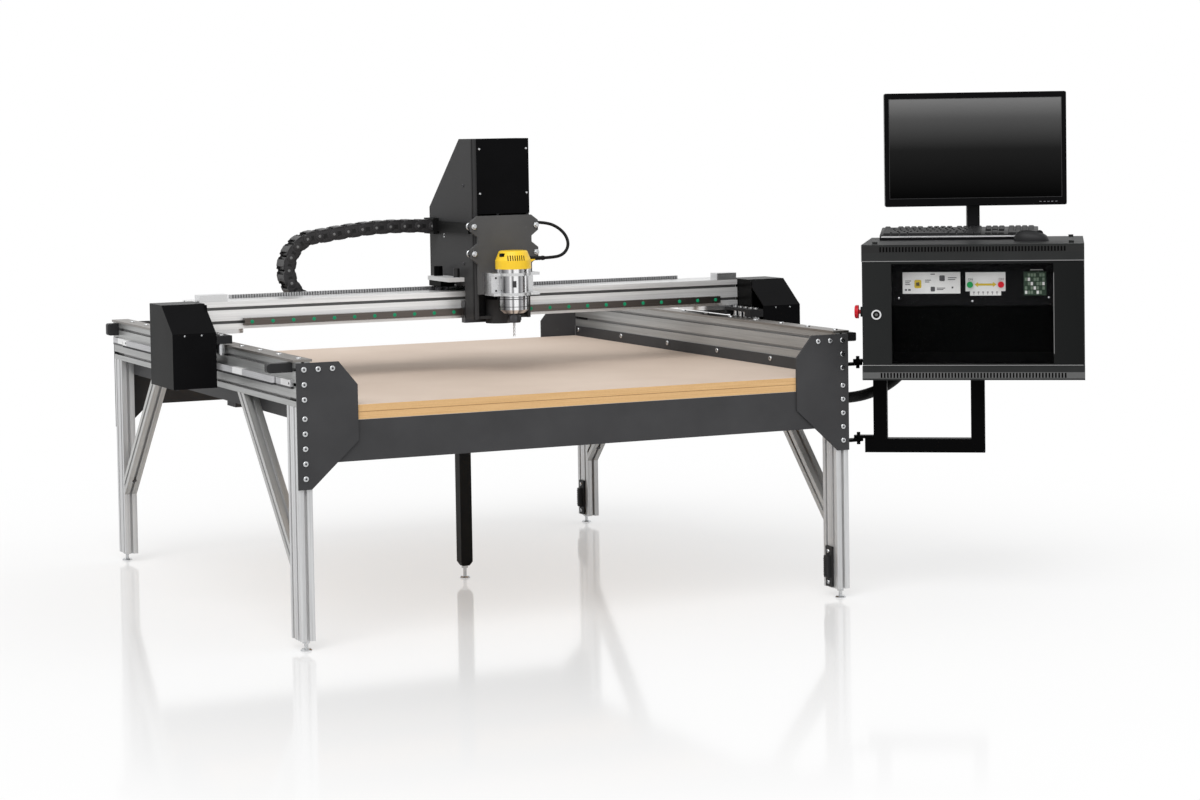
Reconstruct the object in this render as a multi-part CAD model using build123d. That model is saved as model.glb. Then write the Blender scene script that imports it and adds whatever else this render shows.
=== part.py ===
from build123d import *
import math
import os

# A gantry router table with a swing-out control cabinet, in millimetres.
# +X runs right along the gantry, +Y to the back of the table and +Z up.
# The origin is on the floor, under the foot of the table's centre leg.

# T-slot aluminium bars, made of square cells
cell = 38.1
slot_mouth = 8.2
slot_lip = 3.0
slot_pocket = 16.0
slot_floor = 9.0
slot_depth = 9.5

# Running clearances
shaft_play = 0.05
running_gap = 0.3
hole_play = 0.25

# Share of a cord's run that its arc may use
bend_share = 0.45

# Table frame
table_width = 1600.2
rail_length = 1727.2
rail_top = 737.5
rail_cells = 3
leg_cells = 2
leg_end = 26.0
brace_reach = 412.6
foot_disc_r = 15.0
foot_disc_tall = 5.0
foot_disc_cut = 3.0
foot_stud_r = 5.0
foot_nut_r = 10.0
foot_nut_tall = 7.0
centre_leg_wide = 36.0
centre_leg_end = 36.0
centre_leg_taper = 12.0
centre_leg_tip = 22.0

# Corner plates and their bolts
corner_thick = 6.35
corner_wide = 163.0
corner_tall = 322.0
corner_drop = 2.5
corner_top_cut_x = 50.0
corner_top_cut_z = 61.0
corner_low_cut_x = 128.0
corner_low_cut_z = 118.0
corner_bolt_gap = 48.8
corner_leg_bolts = 5
corner_row_bolts = 3
bolt_head_r = 7.5
bolt_head_tall = 3.8
bolt_head_round = 2.4
bolt_socket_r = 3.2
bolt_socket_deep = 2.0
bolt_shank_r = 4.0
bolt_nut_r = 8.0
bolt_nut_tall = 6.5

# Tracks and racks on the side rails
track_wide = 50.8
track_thick = 6.35
track_bolt_end = 32.0
track_bolt_pitch = 155.2
rack_base = 8.0
rack_tall = 22.0
rack_length = 1440.0
clip_gap = 6.0
clip_long = 120.0
clip_thick = 8.0
clip_hole_r = 4.0
clip_hole_in = 14.0
y_module = 3.0
y_pinion_teeth = 36
pressure_angle = 20.0
dedendum = 1.25
tooth_play = 0.4

# Bed
board_top = 621.5
board_thick = 19.05
board_layers = 2
board_sheet = 1219.2
board_side_gap = 0.5
board_rear_gap = 4.6
panel_tall = 106.0
panel_thick = 4.8
angle_thick = 4.8
angle_rise = 30.0
angle_ledge = 57.0
angle_bolt_pitch = 333.0
angle_bolt_count = 6
crossbar_tall = 38.1
crossbar_wide = 76.2
crossbar_spacing = 560.0

# Limit stops and carrying handles
stop_drop = 2.5
front_stop_tall = 24.0
rear_stop_tall = 36.0
stop_deep = 32.0
stop_round = 8.0
stop_inset = 40.0
front_left_stop_reach = 66.0
front_right_stop_reach = 47.0
rear_left_stop_reach = 34.0
handle_wide = 34.0
handle_tall = 112.0
handle_base = 7.0
handle_grip_tall = 62.0
handle_grip_wide = 20.0
handle_grip_rise = 12.0
handle_grip_round = 5.0
handle_lift = 4.0
handle_inset = 38.1

# Gantry beam and trucks
beam_length = 1670.0
beam_deep_cells = 4
beam_tall_cells = 2
beam_front = -151.0
truck_gap = 0.6
truck_tall = 14.0
truck_wide = 43.0
truck_ahead = 163.0
truck_behind = 108.6
truck_plate_thick = 12.7
truck_plate_long = 136.0
truck_plate_round = 34.0
truck_front_deep = 36.0
truck_lap = 9.0
arm_rise = 8.0
arm_post_first = 46.0
arm_post_pitch = 32.0
arm_post_count = 4
roller_r = 12.0
roller_tall = 24.0
roller_in = 16.0
roller_drop = 16.0
axle_r = 5.0
axle_collar_r = 8.0
axle_head_tall = 4.0
motor_shelf_thick = 10.0
left_end_block_long = 81.0
right_end_block_long = 64.0
end_block_deep = 44.0
end_block_tall = 20.0
end_block_inset = 3.0

# Drive covers, motors and pinions
cover_gap = 2.0
cover_wide = 121.0
cover_deep = 215.0
cover_low = 631.0
cover_knee = 780.0
cover_top = 853.0
cover_slope = 100.0
cover_wall = 3.0
cover_inner_wall = 138.0
drive_motor_wide = 50.0
drive_motor_tall = 62.0
drive_shaft_r = 6.0
drive_shaft_bore = 18.0
drive_shaft_room = 6.0
pinion_slack = 4.0

# Linear rail and X rack on the beam
linear_wide = 20.0
linear_tall = 17.5
linear_left = -709.0
linear_right = 769.0
x_module = 2.5
x_pinion_teeth = 20
x_rack_half = 704.0
x_rack_tall = 10.0
x_rack_inset = 7.4

# Cable chain behind the beam
chain_wide = 65.0
chain_tall = 38.0
chain_pitch = 42.0
chain_gap = 14.1
chain_radius = 93.0
chain_bend_x = -421.0
chain_fixed_x = 100.0
chain_bracket_z = 1034.0
chain_pin_wide = 57.0
chain_pin_tall = 27.0
chain_link_gap = 5.0
tray_drop = 45.0
tray_lift = 2.4
tray_wall = 3.0
tray_left = -735.0
tray_lip = 14.0
tray_flange = 36.0
tray_end_thick = 12.0

# Carriage and Z housing
carriage_x = 29.0
housing_wide = 172.0
housing_wall = 6.35
housing_deep = 52.3
housing_low = 776.0
housing_top = 1287.0
housing_roof = 93.0
housing_shoulder = 1088.0
housing_behind = 82.6
housing_lift = 17.0
web_thick = 12.7
web_top = 1060.0
slope_inset = 6.0
shelf_z = 1140.0
shelf_thick = 8.0
foot_plate_thick = 8.0
foot_boss_r = 38.0
foot_boss_low = 762.0
foot_boss_top = 830.0
foot_bore_deep = 18.0
v_rail_thick = 10.0
v_rail_wide = 11.0
v_rail_tip = 0.8
z_cover_thick = 3.0
z_cover_low = 1074.0
z_cover_edge = 1.5
bearing_tall = 30.0
bearing_wide = 63.0
bearing_long = 77.0
bearing_spread = 49.0
bearing_lift = 4.5
duct_tall = 30.0
duct_thick = 8.0
duct_front_gap = 14.0
bracket_tall = 46.0
bracket_thick = 18.0
bracket_deep = 74.0

# X drive on the carriage
x_plate_wide = 47.0
x_plate_ahead = 135.0
x_plate_behind = 30.0
x_plate_thick = 12.0
x_plate_gap = 12.0
x_post_r = 9.0
x_post_tall = 26.0
x_post_in = 17.0
gearbox_wide = 43.0
gearbox_ahead = 60.0
gearbox_gap = 2.3
x_pinion_out = 26.0
x_pinion_gap = 3.0
x_pinion_thick = 8.0
x_motor_r = 13.0
x_motor_tall = 28.0
x_shaft_r = 4.0
x_shaft_bore = 12.0

# Z drive
z_motor_wide = 56.0
z_motor_tall = 76.0
screw_r = 8.0
screw_behind = 28.8
screw_bore = 16.0
screw_room = 4.0
nut_wide = 40.0
nut_tall = 28.0
nut_z = 940.0
nut_behind = 14.0

# Z plate and V wheels
z_plate_gap = 5.0
z_plate_thick = 12.7
z_plate_top = 1069.6
z_plate_low = 848.0
z_plate_waist = 82.0
z_plate_ear = 102.5
ear_high_z = 1040.0
ear_low_z = 963.0
ear_flat = 14.0
ear_slope = 16.0
wheel_groove_r = 9.0
wheel_rim_r = 11.0
wheel_thick = 9.0
wheel_groove_half = 0.8
wheel_bolt_r = 4.0
wheel_nut_r = 6.5
wheel_nut_tall = 5.0

# Router
router_reach = 55.3
router_r = 42.0
router_low = 806.0
router_top = 910.0
router_nose_r = 30.0
router_nose_tall = 10.0
router_bore_deep = 24.0
ring_r = 49.0
ring_tall = 11.0
cap_r = 50.5
cap_tall = 51.0
cap_shoulder = 24.0
cap_top_r = 39.5
cap_round = 5.0
vent_count = 8
vent_pitch = 6.5
vent_wide = 3.0
vent_tall = 15.0
vent_deep = 14.0
vent_turn = -12.0
spout_top = 25.0
spout_tall = 12.0
spout_lip = 2.0
spout_wide = 16.0
spout_long = 14.0
spout_in = 8.0
switch_turn = 199.0
switch_wide = 10.0
switch_tall = 9.0
switch_thick = 13.0
switch_travel = 6.0
switch_seat = 34.0
switch_rise = 40.0
clamp_low = 846.0
clamp_top = 910.0
clamp_left = 67.0
clamp_right = 74.0
clamp_arm_tall = 8.0
clamp_hole_r = 3.0
clamp_hole_in = 14.0
clamp_hole_deep = 8.0
clamp_back = 24.0
clamp_ahead = 16.0
clamp_ear_deep = 30.0
clamp_ear_wide = 31.0
clamp_wall = 7.0
spindle_r = 12.0
collet_nut_r = 19.0
collet_nut_low = 769.0
collet_nut_top = 791.0
bit_r = 3.0
bit_tip = 730.0
relief_long = 51.0
relief_in = 6.0
relief_r = 6.0
relief_start_r = 6.5
cord_r = 4.5
cord_high = 27.0
# Points of the cord from the strain relief's end: out, behind and up
cord_route = [(29, 0, 0.6), (55, 2, 5), (75, 7, 20), (83, 15, 41), (78, 26, 64), (61, 39, 84), (35, 53, 97)]

# Swing frame and its hinges
pivot_out = 55.8
pivot_in = 38.1
pivot_upper_z = 650.0
swing_rest = 34.3
pivot_side = 23.0
pivot_depth = 148.0
tongue_thick = 8.0
tongue_half = 13.0
tongue_gap = 0.5
pivot_pin_r = 5.0
pivot_pin_over = 9.0
pivot_pad_thick = 5.0
pivot_pad_half = 18.0
tube = 38.1
frame_low = 400.0
frame_left = 20.0
frame_left_over = 24.0
frame_right = 289.0

# Cabinet
cabinet_wide = 600.0
cabinet_deep = 450.0
cabinet_low = 613.5
cabinet_top = 983.0
sheet = 2.5
lip_top = 46.0
lip_low = 38.0
louvre_count = 58
louvre_pitch = 8.7
louvre_wide = 4.5
louvre_tall = 14.0
louvre_deep = 6.0
louvre_edge = 6.0
knob_r = 7.0
knob_tall = 6.0
knob_in = 34.0
wall_start = 23.0
door_gap = 1.5
door_thick = 16.0
door_round = 6.0
door_pivot_in = 10.0
door_pin_r = 3.0
door_pin_long = 7.0
glass_left = 81.0
glass_right = 517.0
glass_edge = 5.0
glass_thick = 4.0
glass_set = 5.0
lock_u = 40.0
lock_z = 793.0
lock_r = 13.5
lock_stand = 4.0
lock_cam_long = 30.0
lock_cam_wide = 10.0
lock_cam_thick = 3.0
lock_slot_wide = 2.2
rack_panel_v = 60.0
rack_panel_low = 813.0
rack_panel_high = 931.0
plate_stand = 3.0
left_plate_u = (109.0, 266.0)
left_plate_z = (846.0, 905.0)
centre_plate_u = (280.0, 388.0)
centre_plate_z = (840.0, 904.0)
terminal_u = (437.0, 498.0)
terminal_z = (840.0, 905.0)
terminal_stand = 9.0
start_u = 292.0
stop_u = 376.0
button_z = 870.0
button_r = 6.0
button_head_r = 8.5
button_head_tall = 6.0
button_travel = 3.0
button_tail = 8.0
estop_v = 60.0
estop_z = 797.0
estop_collar_r = 14.0
estop_collar_long = 7.0
estop_cap_r = 18.5
estop_cap_long = 11.0
estop_cap_round = 5.0
estop_stem_r = 6.0
estop_travel = 5.0
estop_tail = 6.0

# Monitor, keyboard and mouse on the cabinet
monitor_u = 302.0
monitor_v = 330.0
monitor_turn = 8.3
monitor_wide = 512.0
monitor_low = 1076.0
monitor_high = 1396.0
monitor_thick = 24.0
monitor_round = 6.0
monitor_hump_wide = 230.0
monitor_hump_tall = 170.0
monitor_hump_thick = 22.0
monitor_hump_cut = 14.0
tilt_z = 1236.0
tilt_back = 76.0
tilt_pin_r = 6.0
tilt_eye_r = 14.0
tilt_eye_wide = 16.0
neck_wide = 36.0
neck_deep = 24.0
neck_fork = 8.0
stand_wide = 170.0
stand_deep = 34.0
stand_front = 2.0
stand_thick = 5.0
keyboard_u = 34.0
keyboard_v = 266.0
keyboard_wide = 441.0
keyboard_deep = 122.0
keyboard_front = 14.0
keyboard_back = 32.0
key_rows = 6
key_row_gap = 4.0
key_rise = 5.0
key_margin = 8.0
mouse_u = 410.0
mouse_v = 150.0
mouse_long = 96.0
mouse_wide = 58.0
mouse_tall = 33.0
mouse_round = 14.0

# Cable loom between the table and the cabinet
loom_r = 15.0
# Points of the loom from the leg's outer face, the hinge and the cabinet's floor: out, behind and up
loom_route = [(-5, -6.5, -60.5), (26.5, -2, -60.5), (63.5, 5.5, -59), (102.5, 15.5, -54)]
loom_route += [(140, 22.5, -45), (175.5, 26, -31), (206, 27, -11), (233.5, 26.5, 12.5)]

# Values worked out from the sizes above
half_table = table_width / 2
half_rail = rail_length / 2
rail_x = half_table - cell / 2
rail_inner = half_table - cell
rail_bottom = rail_top - rail_cells * cell
slot_z = [rail_top - (k + 0.5) * cell for k in range(rail_cells)]
track_top = rail_top + track_thick
leg_deep = leg_cells * cell
board_bottom = board_top - board_layers * board_thick
beam_half = beam_length / 2
beam_deep = beam_deep_cells * cell
beam_tall = beam_tall_cells * cell
beam_back = beam_front + beam_deep
truck_low = track_top + bolt_head_tall + truck_gap
truck_top = truck_low + truck_tall
beam_bottom = truck_top + truck_plate_thick
beam_top = beam_bottom + beam_tall
truck_front = beam_front - truck_ahead
truck_inner = beam_half - truck_wide
roller_x = rail_x + track_wide / 2 + roller_r + running_gap
roller_low = rail_top - roller_drop
roller_top = roller_low + roller_tall
cover_inner = beam_half + cover_gap
cover_outer = cover_inner + cover_wide
cover_front = truck_front
cover_back = cover_front + cover_deep
pinion_r = y_module * y_pinion_teeth / 2
pinion_x = half_table + rack_base + dedendum * y_module + pinion_r
pinion_y = (cover_front + cover_back) / 2
linear_z = beam_bottom + cell / 2
x_pinion_r = x_module * x_pinion_teeth / 2
x_rack_y = beam_back - x_rack_inset
x_pinion_y = x_rack_y - rack_base - dedendum * x_module - x_pinion_r
chain_y = beam_back + chain_gap + chain_wide / 2
tray_z = beam_top - tray_drop
chain_low_z = tray_z + tray_lift + chain_tall / 2
chain_bend_z = chain_low_z + chain_radius
side_left = carriage_x - housing_wide / 2
side_right = carriage_x + housing_wide / 2
web_back = beam_front - bearing_tall
web_front = web_back - web_thick
housing_front = web_front - housing_deep
housing_back = beam_back + housing_behind
housing_floor = beam_top + housing_lift
v_rail_front = housing_front - v_rail_thick
z_plate_back = v_rail_front - z_cover_thick - z_plate_gap
z_plate_front = z_plate_back - z_plate_thick
screw_y = web_front - screw_behind
shelf_top = shelf_z + shelf_thick
wheel_y = housing_front - v_rail_thick / 2
wheel_out = housing_wide / 2 + wheel_groove_r + running_gap
router_y = z_plate_front - router_reach
cap_low = router_top + ring_tall
x_plate_low = housing_floor + x_plate_gap
x_pinion_x = side_left - x_pinion_out
pivot_x = half_table + pivot_out
pivot_y = pivot_in - half_rail
frame_top = frame_low + tube
door_low = cabinet_low + lip_low + door_gap
door_high = cabinet_top - lip_top - door_gap

cabinet_place = Pos(pivot_x, pivot_y) * Rot(0, 0, -swing_rest) * Pos(pivot_side, -pivot_depth)
monitor_place = cabinet_place * Pos(monitor_u, monitor_v) * Rot(0, 0, monitor_turn)

on_floor = (Align.CENTER, Align.CENTER, Align.MIN)
under_face = (Align.CENTER, Align.CENTER, Align.MAX)


def span(x, y, z):
    """Block between three pairs of coordinates."""
    low = [min(pair) for pair in (x, y, z)]
    size = [abs(pair[1] - pair[0]) for pair in (x, y, z)]
    return Pos(*low) * Box(*size, align=(Align.MIN, Align.MIN, Align.MIN))


def rod_x(x, y, z, radius):
    """Round bar along X."""
    return Pos(min(x), y, z) * Rot(0, 90, 0) * Cylinder(radius, abs(x[1] - x[0]), align=on_floor)


def rod_y(x, y, z, radius):
    """Round bar along Y."""
    return Pos(x, min(y), z) * Rot(-90, 0, 0) * Cylinder(radius, abs(y[1] - y[0]), align=on_floor)


def rod_z(x, y, z, radius):
    """Round bar along Z."""
    return Pos(x, y, min(z)) * Cylinder(radius, abs(z[1] - z[0]), align=on_floor)


def plate_xy(points, z):
    """Plate with an outline of (X, Y) points."""
    outline = Pos(0, 0, min(z)) * Polygon(*points, align=None)
    return extrude(outline, abs(z[1] - z[0]), dir=(0, 0, 1))


def plate_xz(points, y):
    """Plate with an outline of (X, Z) points."""
    outline = Pos(0, min(y), 0) * (Plane.XZ * Polygon(*points, align=None))
    return extrude(outline, abs(y[1] - y[0]), dir=(0, 1, 0))


def plate_yz(points, x):
    """Plate with an outline of (Y, Z) points."""
    outline = Pos(min(x), 0, 0) * (Plane.YZ * Polygon(*points, align=None))
    return extrude(outline, abs(x[1] - x[0]), dir=(1, 0, 0))


def slotted_bar(cells_x, cells_y, length):
    """T-slot bar standing on its end, centred on the Z axis."""
    wide = cells_x * cell
    deep = cells_y * cell
    half = [(slot_mouth / 2, slot_lip), (slot_mouth / 2, -slot_lip)]
    half += [(slot_pocket / 2, -slot_lip), (slot_floor / 2, -slot_depth)]
    slot = Polygon(*half, *[(-x, y) for x, y in reversed(half)], align=None)
    cuts = []
    for k in range(cells_x):
        x = (k + 0.5) * cell - wide / 2
        cuts += [Pos(x, deep / 2) * slot, Pos(x, -deep / 2) * Rot(0, 0, 180) * slot]
    for k in range(cells_y):
        y = (k + 0.5) * cell - deep / 2
        cuts += [Pos(wide / 2, y) * Rot(0, 0, -90) * slot, Pos(-wide / 2, y) * Rot(0, 0, 90) * slot]
    return extrude(Rectangle(wide, deep) - cuts, length, dir=(0, 0, 1))


def bolt(shank_long):
    """Button-head bolt with its head above Z = 0 and its shank below."""
    head = Cylinder(bolt_head_r, bolt_head_tall, align=on_floor)
    head = fillet(head.edges().group_by(Axis.Z)[-1], bolt_head_round)
    socket = extrude(RegularPolygon(bolt_socket_r, 6), bolt_socket_deep, dir=(0, 0, 1))
    shank = Cylinder(bolt_shank_r, shank_long, align=under_face)
    return head - Pos(0, 0, bolt_head_tall - bolt_socket_deep) * socket + shank


def hex_nut(radius, tall, bore):
    """Hexagon nut standing on Z = 0."""
    return extrude(RegularPolygon(radius, 6) - Circle(bore), tall, dir=(0, 0, 1))


def tooth_half_angle(radius, pitch_radius, teeth):
    """Half the angle that an involute tooth spans at a radius."""
    base = pitch_radius * math.cos(math.radians(pressure_angle))

    def involute(at):
        angle = math.acos(base / max(at, base))
        return math.tan(angle) - angle

    at_pitch = math.pi / (2 * teeth) - tooth_play / (2 * pitch_radius)
    return at_pitch + involute(pitch_radius) - involute(radius)


def gear(module, teeth, thick, aim):
    """Spur gear on Z = 0, with one tooth pointing along the angle aim."""
    pitch_radius = module * teeth / 2
    radii = [pitch_radius - dedendum * module, pitch_radius, pitch_radius + module]
    points = []
    for k in range(teeth):
        middle = math.radians(aim) + 2 * math.pi * k / teeth
        rising = [(r, middle - tooth_half_angle(r, pitch_radius, teeth)) for r in radii]
        falling = [(r, 2 * middle - a) for r, a in reversed(rising)]
        points += [(r * math.cos(a), r * math.sin(a)) for r, a in rising + falling]
    return extrude(Polygon(*points, align=None), thick, dir=(0, 0, 1))


def rack_outline(low, high, foot, module):
    """Points (along, out) of a rack whose tooth gap faces a pinion at foot."""
    pitch = math.pi * module
    slope = math.tan(math.radians(pressure_angle))
    tip = rack_base + (1 + dedendum) * module
    at_pitch = pitch / 4 - tooth_play / 2
    root_half = at_pitch + dedendum * module * slope
    tip_half = at_pitch - module * slope
    first = math.ceil((low + root_half - foot) / pitch - 0.5)
    last = math.floor((high - root_half - foot) / pitch - 0.5)
    points = [(low, 0), (low, rack_base)]
    for k in range(first, last + 1):
        middle = foot + (k + 0.5) * pitch
        points += [(middle - root_half, rack_base), (middle - tip_half, tip)]
        points += [(middle + tip_half, tip), (middle + root_half, rack_base)]
    return points + [(high, rack_base), (high, 0)]


def cord_radii(points):
    """Bend radius at each corner of a cord, from its shorter run and its turn."""
    radii = []
    for a, b, c in zip(points, points[1:], points[2:]):
        before = Vector(*b) - Vector(*a)
        after = Vector(*c) - Vector(*b)
        turn = math.radians(before.get_angle(after))
        radii.append(bend_share * min(before.length, after.length) / math.tan(turn / 2))
    return radii


def cord_tube(name, points, radius):
    """Round tube along straight runs joined by tangent arcs."""
    radii = cord_radii(points)
    path = FilletPolyline(*points, radius=radii)
    tube_solid = sweep(Plane(path @ 0, z_dir=path % 0) * Circle(radius), path=path)
    share = tube_solid.volume / (math.pi * radius ** 2 * path.length)
    print(name, "length", round(path.length), "volume share", round(share, 4))
    print(name, "radii", [round(r) for r in radii])
    return tube_solid


parts = {}


def table_frame():
    """Rails, legs, braces, feet and the centre leg."""
    rails = []
    legs = []
    braces = []
    feet = []
    leg_face = half_rail - leg_deep
    leg_y = half_rail - leg_deep / 2
    foot_y = half_rail - cell / 2
    brace_long = 2 * (brace_reach + leg_deep)
    for side in (-1, 1):
        bar = slotted_bar(1, rail_cells, rail_length)
        rails.append(Pos(side * rail_x, -half_rail, (rail_top + rail_bottom) / 2) * Rot(-90, 0, 0) * bar)
        for end in (-1, 1):
            post = slotted_bar(1, leg_cells, rail_bottom - leg_end)
            legs.append(Pos(side * rail_x, end * leg_y, leg_end) * post)
            bar = Pos(0, 0, -brace_long / 2) * slotted_bar(1, 1, brace_long)
            off_centre = cell / math.sqrt(2)
            middle_y = leg_face - brace_reach / 2 + off_centre / 2
            middle_z = rail_bottom - brace_reach / 2 + off_centre / 2
            bar = Pos(side * rail_x, end * middle_y, middle_z) * Rot(end * 45, 0, 0) * bar
            outside = (end * leg_face, end * (leg_face + brace_long))
            across = (side * rail_x - cell, side * rail_x + cell)
            bar -= span(across, outside, (-brace_long, rail_top))
            bar -= span(across, (-half_rail, half_rail), (rail_bottom, rail_bottom + brace_long))
            braces.append(bar)
            feet.append(levelling_foot(side * rail_x, end * foot_y, leg_end))
    feet.append(levelling_foot(0, 0, centre_leg_end))
    parts["side_rails"] = rails
    parts["legs"] = legs
    parts["leg_braces"] = braces
    parts["levelling_feet"] = feet
    straight_low = centre_leg_end + centre_leg_taper
    square = Rectangle(centre_leg_wide, centre_leg_wide)
    tip = Pos(0, 0, centre_leg_end) * Rectangle(centre_leg_tip, centre_leg_tip)
    leg = Pos(0, 0, straight_low) * extrude(square, board_bottom - crossbar_tall - straight_low)
    parts["centre_leg"] = [leg + loft([tip, Pos(0, 0, straight_low) * square])]


def levelling_foot(x, y, top):
    """Disc, stud and lock nut under a leg that ends at top."""
    disc = rod_z(x, y, (0, foot_disc_tall), foot_disc_r)
    disc = chamfer(disc.edges().group_by(Axis.Z)[-1], foot_disc_cut)
    stud = rod_z(x, y, (0, top), foot_stud_r)
    nut = Pos(x, y, top - foot_nut_tall) * hex_nut(foot_nut_r, foot_nut_tall, foot_stud_r / 2)
    return disc + stud + nut


def corner_bolt_places():
    """Bolt places on a corner plate, as distance from the outer edge and height."""
    rail_column = [(cell / 2, z) for z in slot_z]
    leg_first = slot_z[-1] - corner_bolt_gap
    leg_column = [(cell / 2, leg_first - k * cell) for k in range(corner_leg_bolts)]
    row = [(cell / 2 + k * cell, slot_z[0]) for k in range(1, corner_row_bolts)]
    return rail_column + leg_column, row


def corner_plates_and_bolts():
    """Four corner plates, and every bolt and nut on the table frame."""
    plates = []
    bolts = []
    top = rail_top - corner_drop
    low = top - corner_tall
    outline = [(0, low), (0, top), (corner_wide - corner_top_cut_x, top)]
    outline += [(corner_wide, top - corner_top_cut_z), (corner_wide, low + corner_low_cut_z)]
    outline += [(corner_wide - corner_low_cut_x, low)]
    column, row = corner_bolt_places()
    hole_r = bolt_shank_r + hole_play
    for side in (-1, 1):
        for end in (-1, 1):
            back = end * half_rail
            face = end * (half_rail + corner_thick)
            plate = plate_xz([(side * (half_table - p), z) for p, z in outline], (back, face))
            plate -= [rod_y(side * (half_table - p), (back, face), z, hole_r) for p, z in column + row]
            plates.append(plate)
            turned = Rot(-90 * end, 0, 0)
            for p, z in column:
                bolts.append(Pos(side * (half_table - p), face, z) * turned * bolt(corner_thick))
            for p, z in row:
                x = side * (half_table - p)
                bolts.append(Pos(x, face, z) * turned * bolt(corner_thick + bolt_nut_tall))
                nut = hex_nut(bolt_nut_r, bolt_nut_tall, bolt_shank_r + hole_play)
                bolts.append(Pos(x, back, z) * Rot(90 * end, 0, 0) * nut)
        for y in track_bolt_places():
            bolts.append(Pos(side * rail_x, y, track_top) * bolt(track_thick))
        for y in angle_bolt_places():
            place = Pos(side * (rail_inner - angle_thick), y, slot_z[-1])
            bolts.append(place * Rot(0, -90 * side, 0) * bolt(angle_thick))
    parts["corner_plates"] = plates
    parts["table_bolts"] = bolts


def track_bolt_places():
    """Places of the track bolts along a rail."""
    count = int((rail_length - 2 * track_bolt_end) / track_bolt_pitch) + 1
    return [track_bolt_end - half_rail + k * track_bolt_pitch for k in range(count)]


def angle_bolt_places():
    """Places of the bed angle bolts along a rail."""
    first = -angle_bolt_pitch * (angle_bolt_count - 1) / 2
    return [first + k * angle_bolt_pitch for k in range(angle_bolt_count)]


def tracks_and_racks():
    """Flat steel tracks on the rails, and gear racks with end clips on their outer faces."""
    pieces = []
    hole_r = bolt_shank_r + hole_play
    middle = slot_z[len(slot_z) // 2]
    height = (middle - rack_tall / 2, middle + rack_tall / 2)
    for side in (-1, 1):
        across = (side * (rail_x - track_wide / 2), side * (rail_x + track_wide / 2))
        track = span(across, (-half_rail, half_rail), (rail_top, track_top))
        track -= [rod_z(side * rail_x, y, (rail_top, track_top), hole_r) for y in track_bolt_places()]
        outline = rack_outline(-rack_length / 2, rack_length / 2, pinion_y, y_module)
        points = [(side * (half_table + out), along) for along, out in outline]
        pieces += [track, plate_xy(points, height)]
        clip_x = (side * half_table, side * (half_table + clip_thick))
        for end in (-1, 1):
            inner = end * (rack_length / 2 + clip_gap)
            clip_y = sorted((inner, inner + end * clip_long))
            clip = span(clip_x, clip_y, height)
            pieces.append(clip - rod_x(clip_x, clip_y[0] + clip_hole_in, middle, clip_hole_r))
    parts["tracks_and_racks"] = pieces


def bed():
    """Front and rear panels, bed angles, crossbars and the spoilboard."""
    frame = []
    panel_face = half_rail - panel_thick
    for end in (-1, 1):
        deep = (end * panel_face, end * half_rail)
        frame.append(span((-rail_inner, rail_inner), deep, (board_bottom - panel_tall, board_bottom)))
    ledge_inner = rail_inner - angle_thick - angle_ledge
    along = (-panel_face, panel_face)
    hole_r = bolt_shank_r + hole_play
    for side in (-1, 1):
        flange = (side * (rail_inner - angle_thick), side * rail_inner)
        rise = (board_bottom - angle_thick, rail_bottom + angle_rise)
        upright_leg = span(flange, along, rise)
        holes = [rod_x(flange, y, slot_z[-1], hole_r) for y in angle_bolt_places()]
        ledge_x = (side * ledge_inner, side * rail_inner)
        ledge = span(ledge_x, along, (board_bottom - angle_thick, board_bottom))
        frame.append(upright_leg - holes + ledge)
    for k in (-1, 0, 1):
        y = k * crossbar_spacing
        deep = (y - crossbar_wide / 2, y + crossbar_wide / 2)
        height = (board_bottom - crossbar_tall, board_bottom)
        frame.append(span((-ledge_inner, ledge_inner), deep, height))
    parts["bed_frame"] = frame
    edge = rail_inner - angle_thick - board_side_gap
    seam = edge - board_sheet
    boards = []
    deep = (-half_rail, half_rail - board_rear_gap)
    for layer in range(board_layers):
        high = board_top - layer * board_thick
        for across in ((-edge, seam), (seam, edge)):
            boards.append(span(across, deep, (high - board_thick, high)))
    parts["spoilboard"] = boards


def stops_and_handles():
    """Limit stops in the rails' top slots and carrying handles on the right legs."""
    pieces = []
    stop_y = half_rail - stop_inset
    stop_top = rail_top - stop_drop
    reaches = [(-1, -1, front_left_stop_reach, front_stop_tall)]
    reaches.append((1, -1, front_right_stop_reach, front_stop_tall))
    reaches.append((-1, 1, rear_left_stop_reach, rear_stop_tall))
    for side, end, reach, tall in reaches:
        across = (side * half_table, side * (half_table + reach))
        deep = (end * stop_y - stop_deep / 2, end * stop_y + stop_deep / 2)
        block = span(across, deep, (stop_top - tall, stop_top))
        tip = block.faces().sort_by(Axis.X)[-1 if side > 0 else 0]
        pieces.append(fillet(tip.edges(), stop_round))
    low = leg_end + handle_lift
    for end in (-1, 1):
        y = end * (half_rail - handle_inset)
        base_y = (y - handle_wide / 2, y + handle_wide / 2)
        base = span((rail_inner - handle_base, rail_inner), base_y, (low, low + handle_tall))
        middle = low + handle_tall / 2
        grip = span(
            (rail_inner - handle_base - handle_grip_rise, rail_inner - handle_base / 2),
            (y - handle_grip_wide / 2, y + handle_grip_wide / 2),
            (middle - handle_grip_tall / 2, middle + handle_grip_tall / 2),
        )
        outer = grip.faces().sort_by(Axis.X)[0]
        pieces.append(base + fillet(outer.edges(), handle_grip_round))
    parts["stops_and_handles"] = pieces


def tongue(reach):
    """Flat hinge tongue on Z = 0, from the pivot at the origin to reach along X."""
    body = Cylinder(tongue_half, tongue_thick, align=on_floor)
    return body + span((0, reach), (-tongue_half, tongue_half), (0, tongue_thick))


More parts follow.
